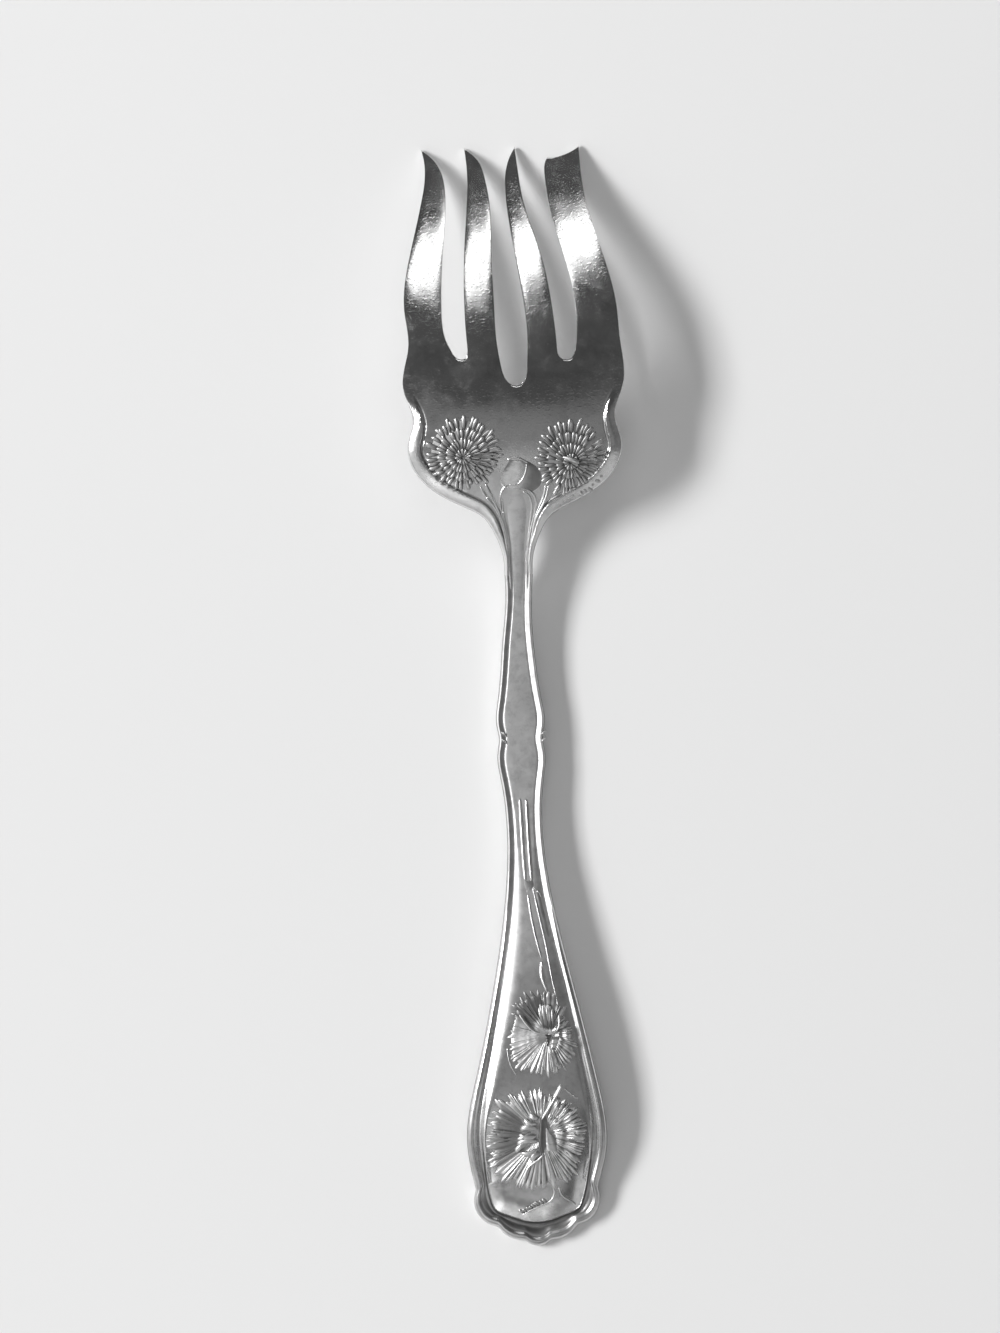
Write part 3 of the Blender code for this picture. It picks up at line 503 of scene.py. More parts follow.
thick = straight([(0, 3.4), (-32, 3.1), (-112, 2.4), (-132.2, 2.4)], y)
under = np.maximum(handle_line(x, y) - thick - 0.35 * raised, 0)
filed = rounded(depth, 0.5) * (handle_line(x, y) - under) / 2
back, front = handle_line(x, y) + raised - filed, under + filed
back[:, 0] = front[:, 0] = (back[:, 0] + front[:, 0]) / 2
# Darkness across the border: tarnish and painted shade in the cove, painted shade along the panel's step and on the
# bead's inner slope, painted shade on its outer face above nought and a finer polish below, and a painted dark outline
# along the very edge.
in_cove = np.sin(np.pi * np.clip((depth - 0.75 * bead_wide) / (cove_wide + 0.6 * bead_wide), 0, 1))
cove_tarnish_and_shade = by_place([(0, 0.25), (-60, 0.25), (-112, 0.35), (-124, 0.6), (-142, 0.72)])
step_shade = by_place([(-104, 0), (-114, 0.8)])
back_shade = by_place([(0, 0.5), (-62, 0.5), (-72, 0.1), (-116, 0.1), (-124, 0.45)])
face_shade_and_polish = by_place([(0, 0.3), (-62, 0.3), (-72, -0.6), (-95, -0.6), (-106, 0.4), (-116, 0.45), (-124, 0.4)])
grey = in_cove * cove_tarnish_and_shade
grey = np.where(np.abs(past + 0.75 * slope_wide) < 0.16, step_shade, grey)
grey = np.where(depth < bead_wide, back_shade, grey)
grey = np.where(depth < face_wide, face_shade_and_polish, grey)
grey = np.where(depth < 0.12, 0.7, grey)
x, y, back, front, grey = (
    np.hstack([part, sign * part[:, -2::-1]])
    for part, sign in ((x, -1), (y, 1), (back, 1), (front, 1), (grey, 1))
)
x = x + eased([(0, 0), (-15, -0.55), (-35, -0.5), (-90, 0.65), (-112, 0.35), (-124, 0)], y)
shells = sheets(x[::-1], y[::-1], back[::-1], front[::-1], grey[::-1]) + [closing(x[0], y[0], front[0], back[0])]


def blade(left, right, lift, hollow, ground, dark, edge=4):
    """Leaf of metal on rungs between two lines: it stands lift over the ground with rolled edges,
    sinks by hollow in its middle, and is closed below the ground. Dark is its darkness across:
    painted shade above nought, a finer polish below it."""
    rows, columns = 44, 21
    sides = [drawn(line)[0] for line in (left, right)]
    left, right = (side[np.linspace(0, len(side) - 1, rows).round().astype(int)] for side in sides)
    u = (1 - np.cos(np.pi * np.linspace(0, 1, columns))) / 2
    x, y = (left[:, None, i] + (right - left)[:, None, i] * u for i in (0, 1))
    span = np.linspace(0, 1, rows)[:, None]
    high = np.interp(span, np.linspace(0, 1, len(np.atleast_1d(lift))), np.atleast_1d(lift))
    rolled = (1 - np.abs(2 * u - 1) ** edge) ** (2 / edge)
    back = ground(x, y) - 0.15 + (high + 0.15) * rolled - hollow * 4 * u * (1 - u) * np.sin(np.pi * span)
    front = np.where(rolled > 0, ground(x, y) - 0.45, back)
    tone = np.interp(u, np.linspace(0, 1, len(np.atleast_1d(dark))), np.atleast_1d(dark))
    return sheets(x, y, back, front, tone) + [closing(x[i], y[i], front[i], back[i]) for i in (0, -1)]


def neck_ground(x, y):
    """Height of the back on both sides of the neck joint."""
    return np.where(y > 0, head_back(x, y), handle_line(x, y))


tongue_half = np.array([
    (1.25, -9), (1.4, -4), (1.5, 1), (1.6, 5), (1.95, 8.5), (2.45, 11.5), (2.62, 13.8), (2.2, 15.5), (1.2, 16.5),
])
tongue_lift = [-0.05, 0.0, 0.04, 0.08, 0.12, 0.14, 0.12, 0.06, 0.0]
shells += blade(tongue_half * (-1, 1), tongue_half, tongue_lift, 0, neck_ground, -0.3, 2.5)
for side in (-1, 1):
    for at in (-31.2, -32.6):
        across = np.array([(4.5, at + 0.5), (3.9, at + 0.1), (3.2, at - 0.5)]) * (side, 1)
        shells += blade(across + (0, 0.3), across - (0, 0.3), [0.1, 0.55, 0.62, 0.3, 0.05], 0, neck_ground, 0, 2.5)
handle = cast("handle_bar", shells, 60)
handle.data.materials.append(silver("handle_polish", 0.88, 0.11, 0.15, 320, 0.5e-6, ((-98, 0.0), (-68, 0.25))))
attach(handle, "root")
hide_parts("handle")


# Bowl stems: two pairs of drawn wires on the head's back that run down from the flowers, close up
# beside the tongue and die away into the neck, with a leaf between them. Soldered on and chased over.
def wire(points, radius, lift, ground, dark=0.25):
    """Round wire along a smooth line through points: a ring of eight at each station, thinned to a
    point at both ends, with its middle lift over the ground and its foot darkened by dark: tarnish and
    painted shade."""
    line, _ = drawn(points, 0.25)
    t = np.linspace(-1, 1, len(line))
    path = np.c_[line, ground(*line.T) + lift]
    thick = radius * (1 - t**8) ** 0.5
    along = np.gradient(path, axis=0)
    along /= np.linalg.norm(along, axis=1)[:, None]
    side = np.cross(along, (0, 0, 1))
    side /= np.linalg.norm(side, axis=1)[:, None]
    over = np.cross(side, along)
    turn = np.linspace(0, 2 * np.pi, 9)[:-1]
    ring = np.cos(turn)[:, None] * side[:, None] + np.sin(turn)[:, None] * over[:, None]
    around = np.r_[np.arange(8), 0]
    points = (path[:, None] + thick[:, None, None] * ring)[:, around].reshape(-1, 3)
    grey = np.broadcast_to(np.where(np.sin(turn[around]) > 0.3, 0, dark), (len(line), 9)).ravel()
    return points, grid_faces(len(line), 9), grey


relief_silver = silver("relief_polish", 0.82, 0.2, 0.32, 420, 1.2e-6)
left_stem = cast("left_bowl_stem", [
    wire([
        (-7.0, 17.3), (-5.8, 15.11), (-4.2, 12.95), (-3.08, 10.2), (-2.4, 7.46), (-2.05, 4.13), (-1.95, 0),
    ], 0.32, 0.14, neck_ground),
    wire([
        (-6.02, 17.83), (-4.89, 15.38), (-3.81, 12.94), (-2.78, 10.19), (-2.24, 7.76), (-1.9, 5.2),
    ], 0.28, 0.16, neck_ground),
    wire([
        (-0.9, 17.3), (-1.9, 17.2), (-2.7, 16.4), (-3.15, 15.03), (-3.1, 12.92), (-2.62, 10.49), (-1.98, 7.75),
        (-1.75, 3.5), (-1.6, -3),
    ], 0.22, 0.12, neck_ground),
    wire([(-2.75, 14.8), (-2.71, 12.3), (-2.19, 9.57), (-1.75, 7.14), (-1.6, 4)], 0.18, 0.1, neck_ground),
])
# Leaf between the bowl stems: its left half rubbed to a finer polish, its right half darkened, painted shade.
leaf = blade(
    [(-3.2, 17.2), (-3.9, 19.0), (-2.92, 20.6), (-1.51, 22.2)], [(3.4, 15.8), (5.6, 17.2), (5.6, 19.6), (2.9, 21.8)],
    0.2, 0, neck_ground, [-0.7, -0.7, -0.7, -0.4, 0.45, 0.65, 0.65, 0.45], 2.4,
)
right_stem = cast("right_bowl_stem", [
    wire([
        (6.33, 17.3), (5.82, 15.06), (4.85, 12.98), (3.73, 10.9), (3.06, 8.51), (2.53, 5.81), (2.1, 1),
    ], 0.26, 0.12, neck_ground),
    wire([(5.73, 17.18), (5.31, 15.08), (4.56, 13.29), (3.59, 11.21), (2.9, 8.8)], 0.2, 0.14, neck_ground),
    wire([
        (0.64, 16.6), (2.09, 16.4), (3.3, 15.5), (3.75, 13.76), (3.45, 11.81), (2.8, 9.42), (2.3, 7.02), (1.9, 4.01),
        (1.65, -3),
    ], 0.22, 0.12, neck_ground),
    wire([
        (1.31, 16.0), (2.35, 15.4), (2.91, 13.9), (2.79, 11.6), (2.41, 9.13), (2.04, 6.73), (1.7, 3),
    ], 0.18, 0.1, neck_ground),
    wire([(2.18, 21.45), (1.95, 20.01), (1.18, 18.37), (0.0, 17.35), (-1.35, 17.48)], 0.15, 0.2, neck_ground),
    # Low wire along the leaf's top with darkened sides: a painted dark line of shade.
    wire([(-1.7, 22.2), (-0.6, 22.65), (0.7, 22.5), (2.4, 21.5)], 0.22, 0.06, neck_ground, 0.9),
] + leaf)
for stem, node in ((left_stem, "bowl_stem_left"), (right_stem, "bowl_stem_right")):
    stem.data.materials.append(relief_silver)
    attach(stem, "root")
    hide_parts(node)


# Bowl flowers: two many-petalled blooms struck from thin silver and soldered on the head's back.
# Three rings of narrow petals and a heart stand on a low boss, their tips left bright, their roots,
# flanks and the boss darkened with tarnish and painted shade.
hand = np.random.default_rng(11)


def petals(start, stop, bow, width, foot, arch, tip, ground, channel, tarnish_and_shade=0.85):
    """Narrow petals from start to stop places: each a ring of seven carried along, bowed sideways,
    pointed at the root and rounded at the tip, its height going from foot to tip over an arch.
    Channel is how deep the groove along its top is. Its flanks and root are darkened, tarnish and
    painted shade where the petals crowd, its groove a little with the channel, and the tip is left clean."""
    s = np.array([0, 0.1, 0.25, 0.42, 0.58, 0.72, 0.84, 0.93, 0.98, 1])
    start, stop = np.array(start), np.array(stop)
    run = stop - start
    length = np.linalg.norm(run, axis=1)[:, None]
    across = np.c_[-run[:, 1], run[:, 0]] / length
    bow, width, foot, arch, tip = (np.broadcast_to(part, len(start))[:, None] for part in (bow, width, foot, arch, tip))
    sideways = (bow * np.sin(np.pi * s) * length)[..., None]
    middle = start[:, None] + run[:, None] * s[:, None] + across[:, None] * sideways
    round_end = np.sqrt(1 - np.clip((s - 0.8) / 0.2, 0, 1) ** 2)
    half = width / 2 * np.minimum(1, s / 0.3) ** 0.6 * (0.65 + 0.35 * s) * round_end
    height = foot + (tip - foot) * s + arch * np.sin(np.pi * s)
    aside = np.array([-1, -0.72, -0.32, 0.32, 0.72, 1, 0, -1])
    above = np.array([-0.3, 0.45, 0.8, 0.8, 0.45, -0.3, -1.2, -0.3])
    above = above - channel * np.array([0, 0, 1, 1, 0, 0, 0, 0]) * (1 - s**3)[:, None]
    place = middle[:, :, None] + across[:, None, None] * (half[..., None] * aside)[..., None]
    x, y = place[..., 0], place[..., 1]
    points = np.stack([x, y, ground(x, y) + height[..., None] + half[..., None] * above], -1).reshape(-1, 3)
    each = len(s) * len(aside)
    faces = (np.arange(len(start))[:, None, None] * each + grid_faces(len(s), len(aside))).reshape(-1, 4)
    flank = np.array([tarnish_and_shade, 0.2 * tarnish_and_shade, 0.3 * channel, 0.3 * channel, 0.2 * tarnish_and_shade, tarnish_and_shade, 1, tarnish_and_shade])
    grey = np.maximum(flank, tarnish_and_shade * (np.clip(1 - s / 0.8, 0, 1) ** 0.6)[:, None])
    return points, faces, np.broadcast_to(grey, x.shape).ravel()


def boss(centre, radius, high, ground, dark):
    """Low round cushion under the petals: height falls with the square of the distance from its
    middle, and it is closed below the ground."""
    r, turn = np.r_[np.linspace(0, 1, 12), 0], np.linspace(0, 2 * np.pi, 49)
    x, y = centre[0] + radius[0] * r[:, None] * np.cos(turn), centre[1] + radius[1] * r[:, None] * np.sin(turn)
    lift = np.r_[high * (1 - r[:-1] ** 2) - 0.08, -0.5]
    points = np.stack([x, y, ground(x, y) + lift[:, None]], -1).reshape(-1, 3)
    return points, grid_faces(*x.shape), np.full(x.size, dark)


def bloom(centre, heart, radius, tiers, ground, tarnish_and_shade):
    """Rings of petals round a centre: angles even with a seeded waver, roots and tips at their
    shares of the two radii, each ring standing on the one outside it, and drawn over to the heart's
    place by what is left of its share."""
    centre, heart, radius = np.array(centre), np.array(heart), np.array(radius)
    # The boss under the petals is darkened: painted shade under them, with tarnish.
    shells = [boss(centre, radius * 0.93, 0.42, ground, 0.35 * tarnish_and_shade)]
    for count, inner, outer, width, foot, tip, arch in tiers:
        angle = 2 * np.pi * (np.arange(count) + hand.uniform(-0.16, 0.16, count)) / count + hand.uniform(0, 6)
        lean = angle + hand.normal(0, 0.05, count)
        reach = outer * hand.uniform(0.88, 1.04, count)
        start = centre + heart * (1 - inner) + radius * inner * np.c_[np.cos(angle), np.sin(angle)]
        stop = centre + heart * (1 - outer) + radius * reach[:, None] * np.c_[np.cos(lean), np.sin(lean)]
        shells.append(petals(
            start, stop, hand.normal(0, 0.05, count), width * hand.uniform(0.85, 1.15, count), foot, arch,
            tip + hand.uniform(-0.06, 0.1, count), ground, channel=0.3, tarnish_and_shade=tarnish_and_shade,
        ))
    return shells


rings = [
    (42, 0.62, 1.0, 0.88, 0.1, 0.1, 0.1), (34, 0.4, 0.73, 0.78, 0.24, 0.24, 0.1),
    (24, 0.18, 0.47, 0.64, 0.38, 0.38, 0.1), (12, 0.02, 0.22, 0.5, 0.5, 0.52, 0.06),
]
left_bloom = cast("left_bowl_bloom", bloom((-10.0, 24.0), (-0.2, -1.2), (7.6, 7.3), rings, head_back, 0.85) + [
    petals(
        [(-8.6, 23.4), (-8.2, 22.9), (-8.0, 22.3), (-7.8, 21.7)],
        [(-3.2, 23.3), (-3.0, 22.6), (-3.3, 21.9), (-3.9, 21.0)], 0.03, 0.42, 0.7, 0.05, 0.35, head_back, 0.4,
    ),
])
right_bloom = cast("right_bowl_bloom", bloom((11.1, 22.2), (-0.3, -0.9), (7.2, 7.9), rings, head_back, 0.8) + [
    petals([(9.0, 22.5)], [(12.4, 21.2)], 0.04, 1.1, 0.45, 0.1, 1.3, head_back, 0.1, 0.2),
])
# The bowl flowers' silver is given a darker tone, 0.66 against 0.8 on the handle flowers: painted shade.
bowl_bloom_shaded_silver = silver("bowl_bloom_shaded_polish", 0.66, 0.3, 0.42, 420, 1.2e-6)
for flower, node in ((left_bloom, "bowl_flower_left"), (right_bloom, "bowl_flower_right")):
    flower.data.materials.append(bowl_bloom_shaded_silver)
    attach(flower, "root")
    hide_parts(node)


# Handle stems: two drawn wires side by side on the handle's back, tied half way, that part and
# climb the panel to the upper flower. Soldered on and chased over.
def panel_ground(x, y):
    """Height of the handle's panel: its rounded step beside the border, level inside, and its roll
    towards the lobed end."""
    middle = 0.3
    wide = straight(bead_face, y) + straight(bead_back, y) + straight(cove_side, y)
    step = np.clip((batten(half_width, y) - np.abs(x - middle) - wide) / straight(slope_side, y), 0, 1)
    high = straight(panel_high[:-1] + [(-112, 0.75), (-122, 0.74), (-124, 0.66), (-126, 0.43)], y)
    return handle_line(x, y) + high * (1 - (1 - step) ** 2.2)


tie = blade(
    [(-1.3, -60.1), (-1.2, -61.2), (-0.5, -62.5)], [(1.5, -59.8), (1.7, -60.7), (1.0, -61.5)],
    0.05, 0, panel_ground, 0.1, 2.5,
)
# A flat strip beside the stem wire, barely raised and darkened: painted shade.
painted_shade_strip = blade(
    [(1.3, -62.2), (2.6, -68), (3.9, -75)], [(2.2, -62.2), (3.6, -68), (5.3, -75)],
    0.02, 0, panel_ground, [0.2, 0.45, 0.45, 0.3], 3,
)
# Small leaf, darker along its right side: painted shade.
small_leaf = blade(
    [(2.0, -76.0), (1.7, -78.4), (2.9, -81.6)], [(2.4, -75.8), (2.9, -78.4), (3.3, -81.9)],
    0.25, 0, panel_ground, [0, 0, 0.3], 2.5,
)
stems = cast("handle_stem_pair", [
    wire([(-1.11, -43.9), (-0.9, -51), (-0.62, -58), (-0.5, -60)], 0.24, 0.08, panel_ground),
    wire([(0.13, -44), (0.35, -52), (0.6, -58), (0.75, -60)], 0.24, 0.08, panel_ground),
    # These two low wires carry darkened feet: painted shade beside them.
    wire([(-0.1, -62.6), (0.47, -67.2), (1.7, -73.2), (2.3, -75.5)], 0.17, 0.03, panel_ground, 0.6),
    wire([
        (0.9, -61.4), (2.2, -67.9), (3.1, -72.5), (4.17, -79.3), (5.1, -84.2), (5.45, -88),
    ], 0.15, 0.02, panel_ground, 0.6),
    wire([(1.0, -61.4), (1.9, -62.1), (2.6, -63.3)], 0.12, 0.02, panel_ground, 0.2),
] + tie + painted_shade_strip + small_leaf)
stems.data.materials.append(relief_silver)
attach(stems, "root")
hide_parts("handle_stems")


# Handle flowers: two blooms struck from thin silver and soldered on the panel, both seen from the
# side. Their petals are one ridged skin round a cleft and a smooth cup, with a few loose petals
# and fine wires beside it. Painted shade darkens the cleft, the cups' left sides, the valleys between
# ridges and some sectors of smooth petals.
def fan(inner, outer, count, width, foot, arch, tip, waver=1.0):
    """Petals on even shares of two smooth lines, their places and lengths wavering by a seeded hand."""
    share = (np.arange(count) + 0.5 + waver * hand.uniform(-0.2, 0.2, count)) / count
    start, stop = (
        np.stack([np.interp(share, np.linspace(0, 1, len(line)), part) for part in line.T], 1)
        for line in (drawn(inner)[0], drawn(outer)[0])
    )
    stop = start + (stop - start) * hand.uniform(1 - 0.12 * waver, 1 + 0.03 * waver, count)[:, None]
    return petals(
        start, stop, waver * hand.normal(0, 0.025, count), width * hand.uniform(0.85, 1.15, count), foot, arch,
        tip + waver * hand.uniform(-0.08, 0.08, count), panel_ground, channel=0.6,
    )


def ruff(centre, rim, count, heights, ridged, shade_by_angle):
    """Petals struck as one corrugated skin round a centre. The rim's distance goes with the angle;
    heights and ridge depths go by the angle and from root to rim by seven stations. Each petal has
    its own seeded width, length, bow and lift, and ends as a finger at the rim. Valleys are darkened
    with painted shade, and smooth parts outside the heart get painted shade by the angle."""
    fine = 6
    petal = np.arange(count * fine + 1) / fine
    own = np.minimum(petal.astype(int), count - 1)
    ends = np.r_[0, np.cumsum(hand.uniform(0.5, 1.5, count))]
    angle = 2 * np.pi * np.interp(petal, np.arange(count + 1), ends) / ends[-1]
    fold = np.abs(np.sin(np.pi * petal)) ** 0.7
    turn = np.degrees(angle)

    def by_angle(rows):
        """Each column of rows of (degrees, value, ...) as a smooth line round the full turn."""
        rows = np.array(rows, float)
        once = np.eye(rows.shape[1])[0] * 360
        rows = np.r_[rows - once, rows, rows + once]
        return np.stack([eased(np.c_[rows[:, 0], column], turn) for column in rows[:, 1:].T])

    out = np.linspace(0, 1, 34)[:, None]
    stations = np.array([0, 0.25, 0.5, 0.58, 0.85, 0.93, 1])
    weight = np.stack([eased(np.c_[stations, row], out[:, 0]) for row in np.eye(7)], axis=1)
    high, deep = weight @ by_angle(heights), weight @ by_angle(ridged)
    long = hand.uniform(-0.14, 0.06, count)[own]
    bow = hand.normal(0, 0.05, count)[own]
    lift = hand.normal(0, 0.22, count)[own]
    clump = 0.1 * np.sin(9 * angle + 1) + 0.1 * np.sin(13 * angle)
    radius = out * by_angle(rim)[0] * (1 + long * fold - 0.12 * (1 - fold))
    angle = angle + (bow * fold + 0.25 * clump) * np.sin(2.2 * out)
    x, y = centre[0] + radius * np.cos(angle), centre[1] + radius * np.sin(angle)
    z = panel_ground(x, y) + high + deep * (0.42 * fold - 0.42 + lift * fold + 2 * clump)
    z[0] = z[0].mean()
    x, y = (np.r_[part, part[-1:], part[:1]] for part in (x, y))
    z = np.r_[z, panel_ground(x[-2:], y[-2:]) - np.array([[0.12], [0.45]])]
    # Painted shade in the valleys between ridges, and by the angle on smooth parts outside the heart.
    smooth = np.clip(1 - deep / 0.3, 0, 1) * eased([(0.3, 0), (0.45, 1)], out)
    grey = 2.6 * deep * (1 - fold) ** 1.2 + by_angle(shade_by_angle)[0] * smooth
    grey = np.clip(np.r_[grey, grey[-1:], grey[:1]], 0, 1)
    return np.stack([x, y, z], -1).reshape(-1, 3), grid_faces(*x.shape), grey.ravel()


# Raised sheet in the flower's cleft, darkened: painted shade.
lower_cleft_painted_shade = blade(
    [(0.92, -106.3), (0.6, -109.28), (0.55, -111.7), (1.06, -113.5)],
    [(2.3, -105.9), (2.7, -108.68), (2.5, -111.07), (1.6, -113.4)], 0.95, 0.1, panel_ground, [0.75, 0.85, 0.75, 0.4],
)
# Smooth cup, darker towards its left side: painted shade.
lower_cup = blade(
    [(2.0, -108.4), (1.8, -110.7), (1.9, -112.9)], [(2.5, -108.7), (3.89, -111.0), (4.5, -113.3)],
    1.1, 0.1, panel_ground, [0.5, 0.25, 0.15, 0.05],
)
lower_bloom = cast("lower_handle_bloom", [
    ruff(
        (1.2, -110),
        [
            (7, 8.9), (35, 8.7), (65, 8.3), (75, 8.6), (94, 9.4), (105, 9.0), (115, 10), (127, 10.2), (140, 11.1),
            (158, 10.8), (176, 10.5), (193, 10.7), (210, 11.7), (226, 12.3), (242, 11.5), (252, 11.2), (266, 11.1),
            (281, 10.6), (291, 10), (305, 10.4), (319, 9.9), (330, 8.8), (345, 9.0),
        ],
        108,
        [
            (0, 0.3, 0.2, 0.8, 0.5, 1.35, 1.25, 0.3), (55, 0.3, 0.25, 0.7, 0.5, 1.15, 1.0, 0.3),
            (80, 0.4, 0.5, 0.8, 0.75, 0.8, 0.6, 0.2), (120, 0.4, 0.6, 0.85, 0.8, 0.7, 0.5, 0.2),
            (145, 0.4, 0.3, 0.18, 0.18, 0.26, 0.3, 0.15), (205, 0.4, 0.3, 0.18, 0.18, 0.26, 0.3, 0.15),
            (235, 0.5, 0.6, 0.7, 0.68, 0.55, 0.4, 0.15), (280, 0.5, 0.6, 0.75, 0.7, 0.55, 0.4, 0.15),
            (320, 0.4, 0.4, 0.85, 0.6, 1.0, 0.85, 0.25),
        ],
        [
            (0, 0, 0.1, 0.3, 0.28, 0.34, 0.36, 0.25), (80, 0, 0.15, 0.3, 0.32, 0.32, 0.3, 0.2),
            (125, 0, 0.15, 0.3, 0.3, 0.3, 0.26, 0.2), (142, 0, 0, 0.02, 0.03, 0.08, 0.18, 0.2),
            (210, 0, 0, 0.02, 0.03, 0.08, 0.18, 0.2), (230, 0, 0.15, 0.3, 0.3, 0.32, 0.32, 0.2),
            (290, 0, 0.15, 0.32, 0.32, 0.34, 0.34, 0.2),
        ],
        [(0, 0.1), (120, 0.2), (142, 0.75), (210, 0.75), (230, 0.15)],
    ),
    petals(
        [
            (0.8, -106.6), (0.5, -107.6), (0.6, -108.7), (0.5, -109.9), (0.5, -111.0), (0.7, -112.2), (0.9, -113.3),
            (-0.9, -109.2), (-1.2, -111.4),
        ],
        [
            (-1.0, -105.6), (-2.2, -106.9), (-2.9, -108.6), (-3.2, -109.7), (-3.6, -111.6), (-2.9, -113.4),
            (-0.9, -115.0), (-3.5, -110.6), (-4.0, -113.0),
        ],
        [0.15, 0.1, -0.12, 0.14, -0.1, 0.16, -0.18, 0.1, -0.12], [1.3, 1.1, 1.5, 1.2, 1.5, 1.2, 1.4, 1.0, 1.1],
        0.8, 0.45, [0.6, 0.8, 0.65, 0.9, 0.6, 0.85, 0.7, 0.95, 0.8], panel_ground, 0.3, 0.1,
    ),
    wire([(1.26, -106.9), (3.06, -104.17), (4.33, -102.13), (5.36, -100.26)], 0.24, 0.85, panel_ground, 0.1),
    wire([(1.57, -113.64), (0.32, -114.81), (-1.45, -116.14), (-2.38, -118.6)], 0.22, 0.95, panel_ground, 0.2),
    wire([
        (2.95, -119.73), (3.42, -121.13), (2.85, -122.84), (0.39, -124.15), (-3.12, -125.9),
    ], 0.13, 0.08, panel_ground, 0.2),
    wire([(4.31, -120.46), (4.95, -122.04), (6.3, -123.12), (7.6, -124.0)], 0.16, 0.1, panel_ground, 0.2),
    wire([(5.93, -100.79), (7.28, -102.05), (8.63, -102.95)], 0.13, 0.06, panel_ground, 0.2),
    fan(
        [(2.3, -123.5), (0.4, -124.2), (-2.6, -125.6)], [(1.2, -122.7), (-0.9, -123.5), (-3.9, -125.0)],
        9, 0.6, 0.05, 0.06, 0.12, 1.6,
    ),
] + lower_cleft_painted_shade + lower_cup)

# Raised sheet in the flower's cleft, darkened: painted shade.
upper_cleft_painted_shade = blade(
    [(2.2, -89.9), (2.6, -91.2), (2.8, -92.4)], [(3.9, -89.8), (3.5, -91.2), (3.1, -92.4)],
    0.85, 0.1, panel_ground, [0.7, 0.85, 0.6],
)
# Smooth cup, darker towards its left side: painted shade.
upper_cup = blade(
    [(3.8, -90.6), (3.5, -91.8), (3.5, -93.2)], [(5.3, -90.5), (5.2, -91.9), (4.4, -93.2)],
    0.95, 0.1, panel_ground, [0.5, 0.2, 0],
)
upper_bloom = cast("upper_handle_bloom", [
    ruff(
        (3.0, -90.2),
        [
            (10, 4.9), (31, 4.6), (50, 5.6), (66, 6.8), (84, 8.6), (98, 7.9), (109, 9.2), (133, 9.0), (148, 7.9),
            (174, 7.85), (199, 8.35), (224, 9.2), (241, 8.0), (267, 8.1), (287, 7.9), (305, 7.5), (315, 6.9),
            (334, 6.2), (357, 5.1),
        ],
        84,
        [
            (0, 0.4, 0.25, 0.8, 0.5, 1.1, 0.95, 0.3), (60, 0.4, 0.4, 0.6, 0.5, 0.5, 0.4, 0.15),
            (100, 0.5, 0.4, 0.22, 0.16, 0.12, 0.14, 0.08), (145, 0.6, 0.45, 0.25, 0.2, 0.14, 0.16, 0.08),
            (160, 0.6, 0.6, 0.4, 0.34, 0.2, 0.18, 0.1), (215, 0.6, 0.75, 0.6, 0.5, 0.3, 0.25, 0.12),
            (255, 0.5, 0.75, 0.9, 0.85, 0.6, 0.4, 0.15), (310, 0.4, 0.5, 0.9, 0.7, 0.85, 0.65, 0.2),
        ],
        [
            (0, 0, 0.1, 0.3, 0.3, 0.34, 0.34, 0.25), (60, 0, 0.05, 0.2, 0.25, 0.28, 0.25, 0.2),
            (100, 0, 0, 0, 0, 0.02, 0.08, 0.18), (150, 0, 0, 0, 0, 0, 0.04, 0.15),
            (228, 0, 0, 0, 0, 0, 0.05, 0.15), (246, 0, 0.1, 0.24, 0.26, 0.3, 0.3, 0.2),
            (310, 0, 0.12, 0.26, 0.28, 0.3, 0.3, 0.2),
        ],
        [(0, 0.2), (60, 0.5), (95, 0.8), (145, 0.75), (160, 0.4), (190, 0.2), (226, 0.5), (246, 0.1), (310, 0.2)],
    ),
    fan(
        [(2.13, -88.92), (3.16, -89.3), (4.2, -89.16)], [(1.0, -84.4), (2.48, -83.9), (4.1, -84.9)],
        8, 0.6, 0.75, 0.25, 0.75,
    ),
    wire([(-2.46, -86.0), (-1.13, -87.96), (1.07, -89.75), (3.14, -89.95)], 0.22, 0.78, panel_ground, 0.2),
    wire([(2.96, -90.1), (4.71, -89.52), (5.34, -87.98), (5.2, -86.3)], 0.2, 0.85, panel_ground, 0.2),
    wire([(-4.99, -92.5), (-4.47, -95.82), (-3.33, -97.93)], 0.12, 0.08, panel_ground, 0.2),
] + upper_cleft_painted_shade + upper_cup)
handle_bloom_silver = silver("handle_bloom_polish", 0.8, 0.3, 0.42, 420, 1.2e-6)
for flower, node in ((lower_bloom, "handle_flower_lower"), (upper_bloom, "handle_flower_upper")):
    flower.data.materials.append(handle_bloom_silver)
    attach(flower, "root")
    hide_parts(node)


# Table: a plain flat top under the fork, painted pale grey with a dull finish. It is far wider than
# the picture and takes the fork's shadow.
top_mesh = bpy.data.meshes.new("table_top")
top_mesh.from_pydata([(-3, -3, 0), (3, -3, 0), (3, 3, 0), (-3, 3, 0)], [], [(0, 1, 2, 3)])
table = bpy.data.objects.new("table_top", top_mesh)
bpy.context.scene.collection.objects.link(table)
paint = bpy.data.materials.new("table_paint")
paint.use_nodes = True
finish = paint.node_tree.nodes["Principled BSDF"].inputs
finish["Base Color"].default_value = (0.82, 0.82, 0.82, 1)
finish["Roughness"].default_value = 0.6
finish["Specular IOR Level"].default_value = 0.2
top_mesh.materials.append(paint)


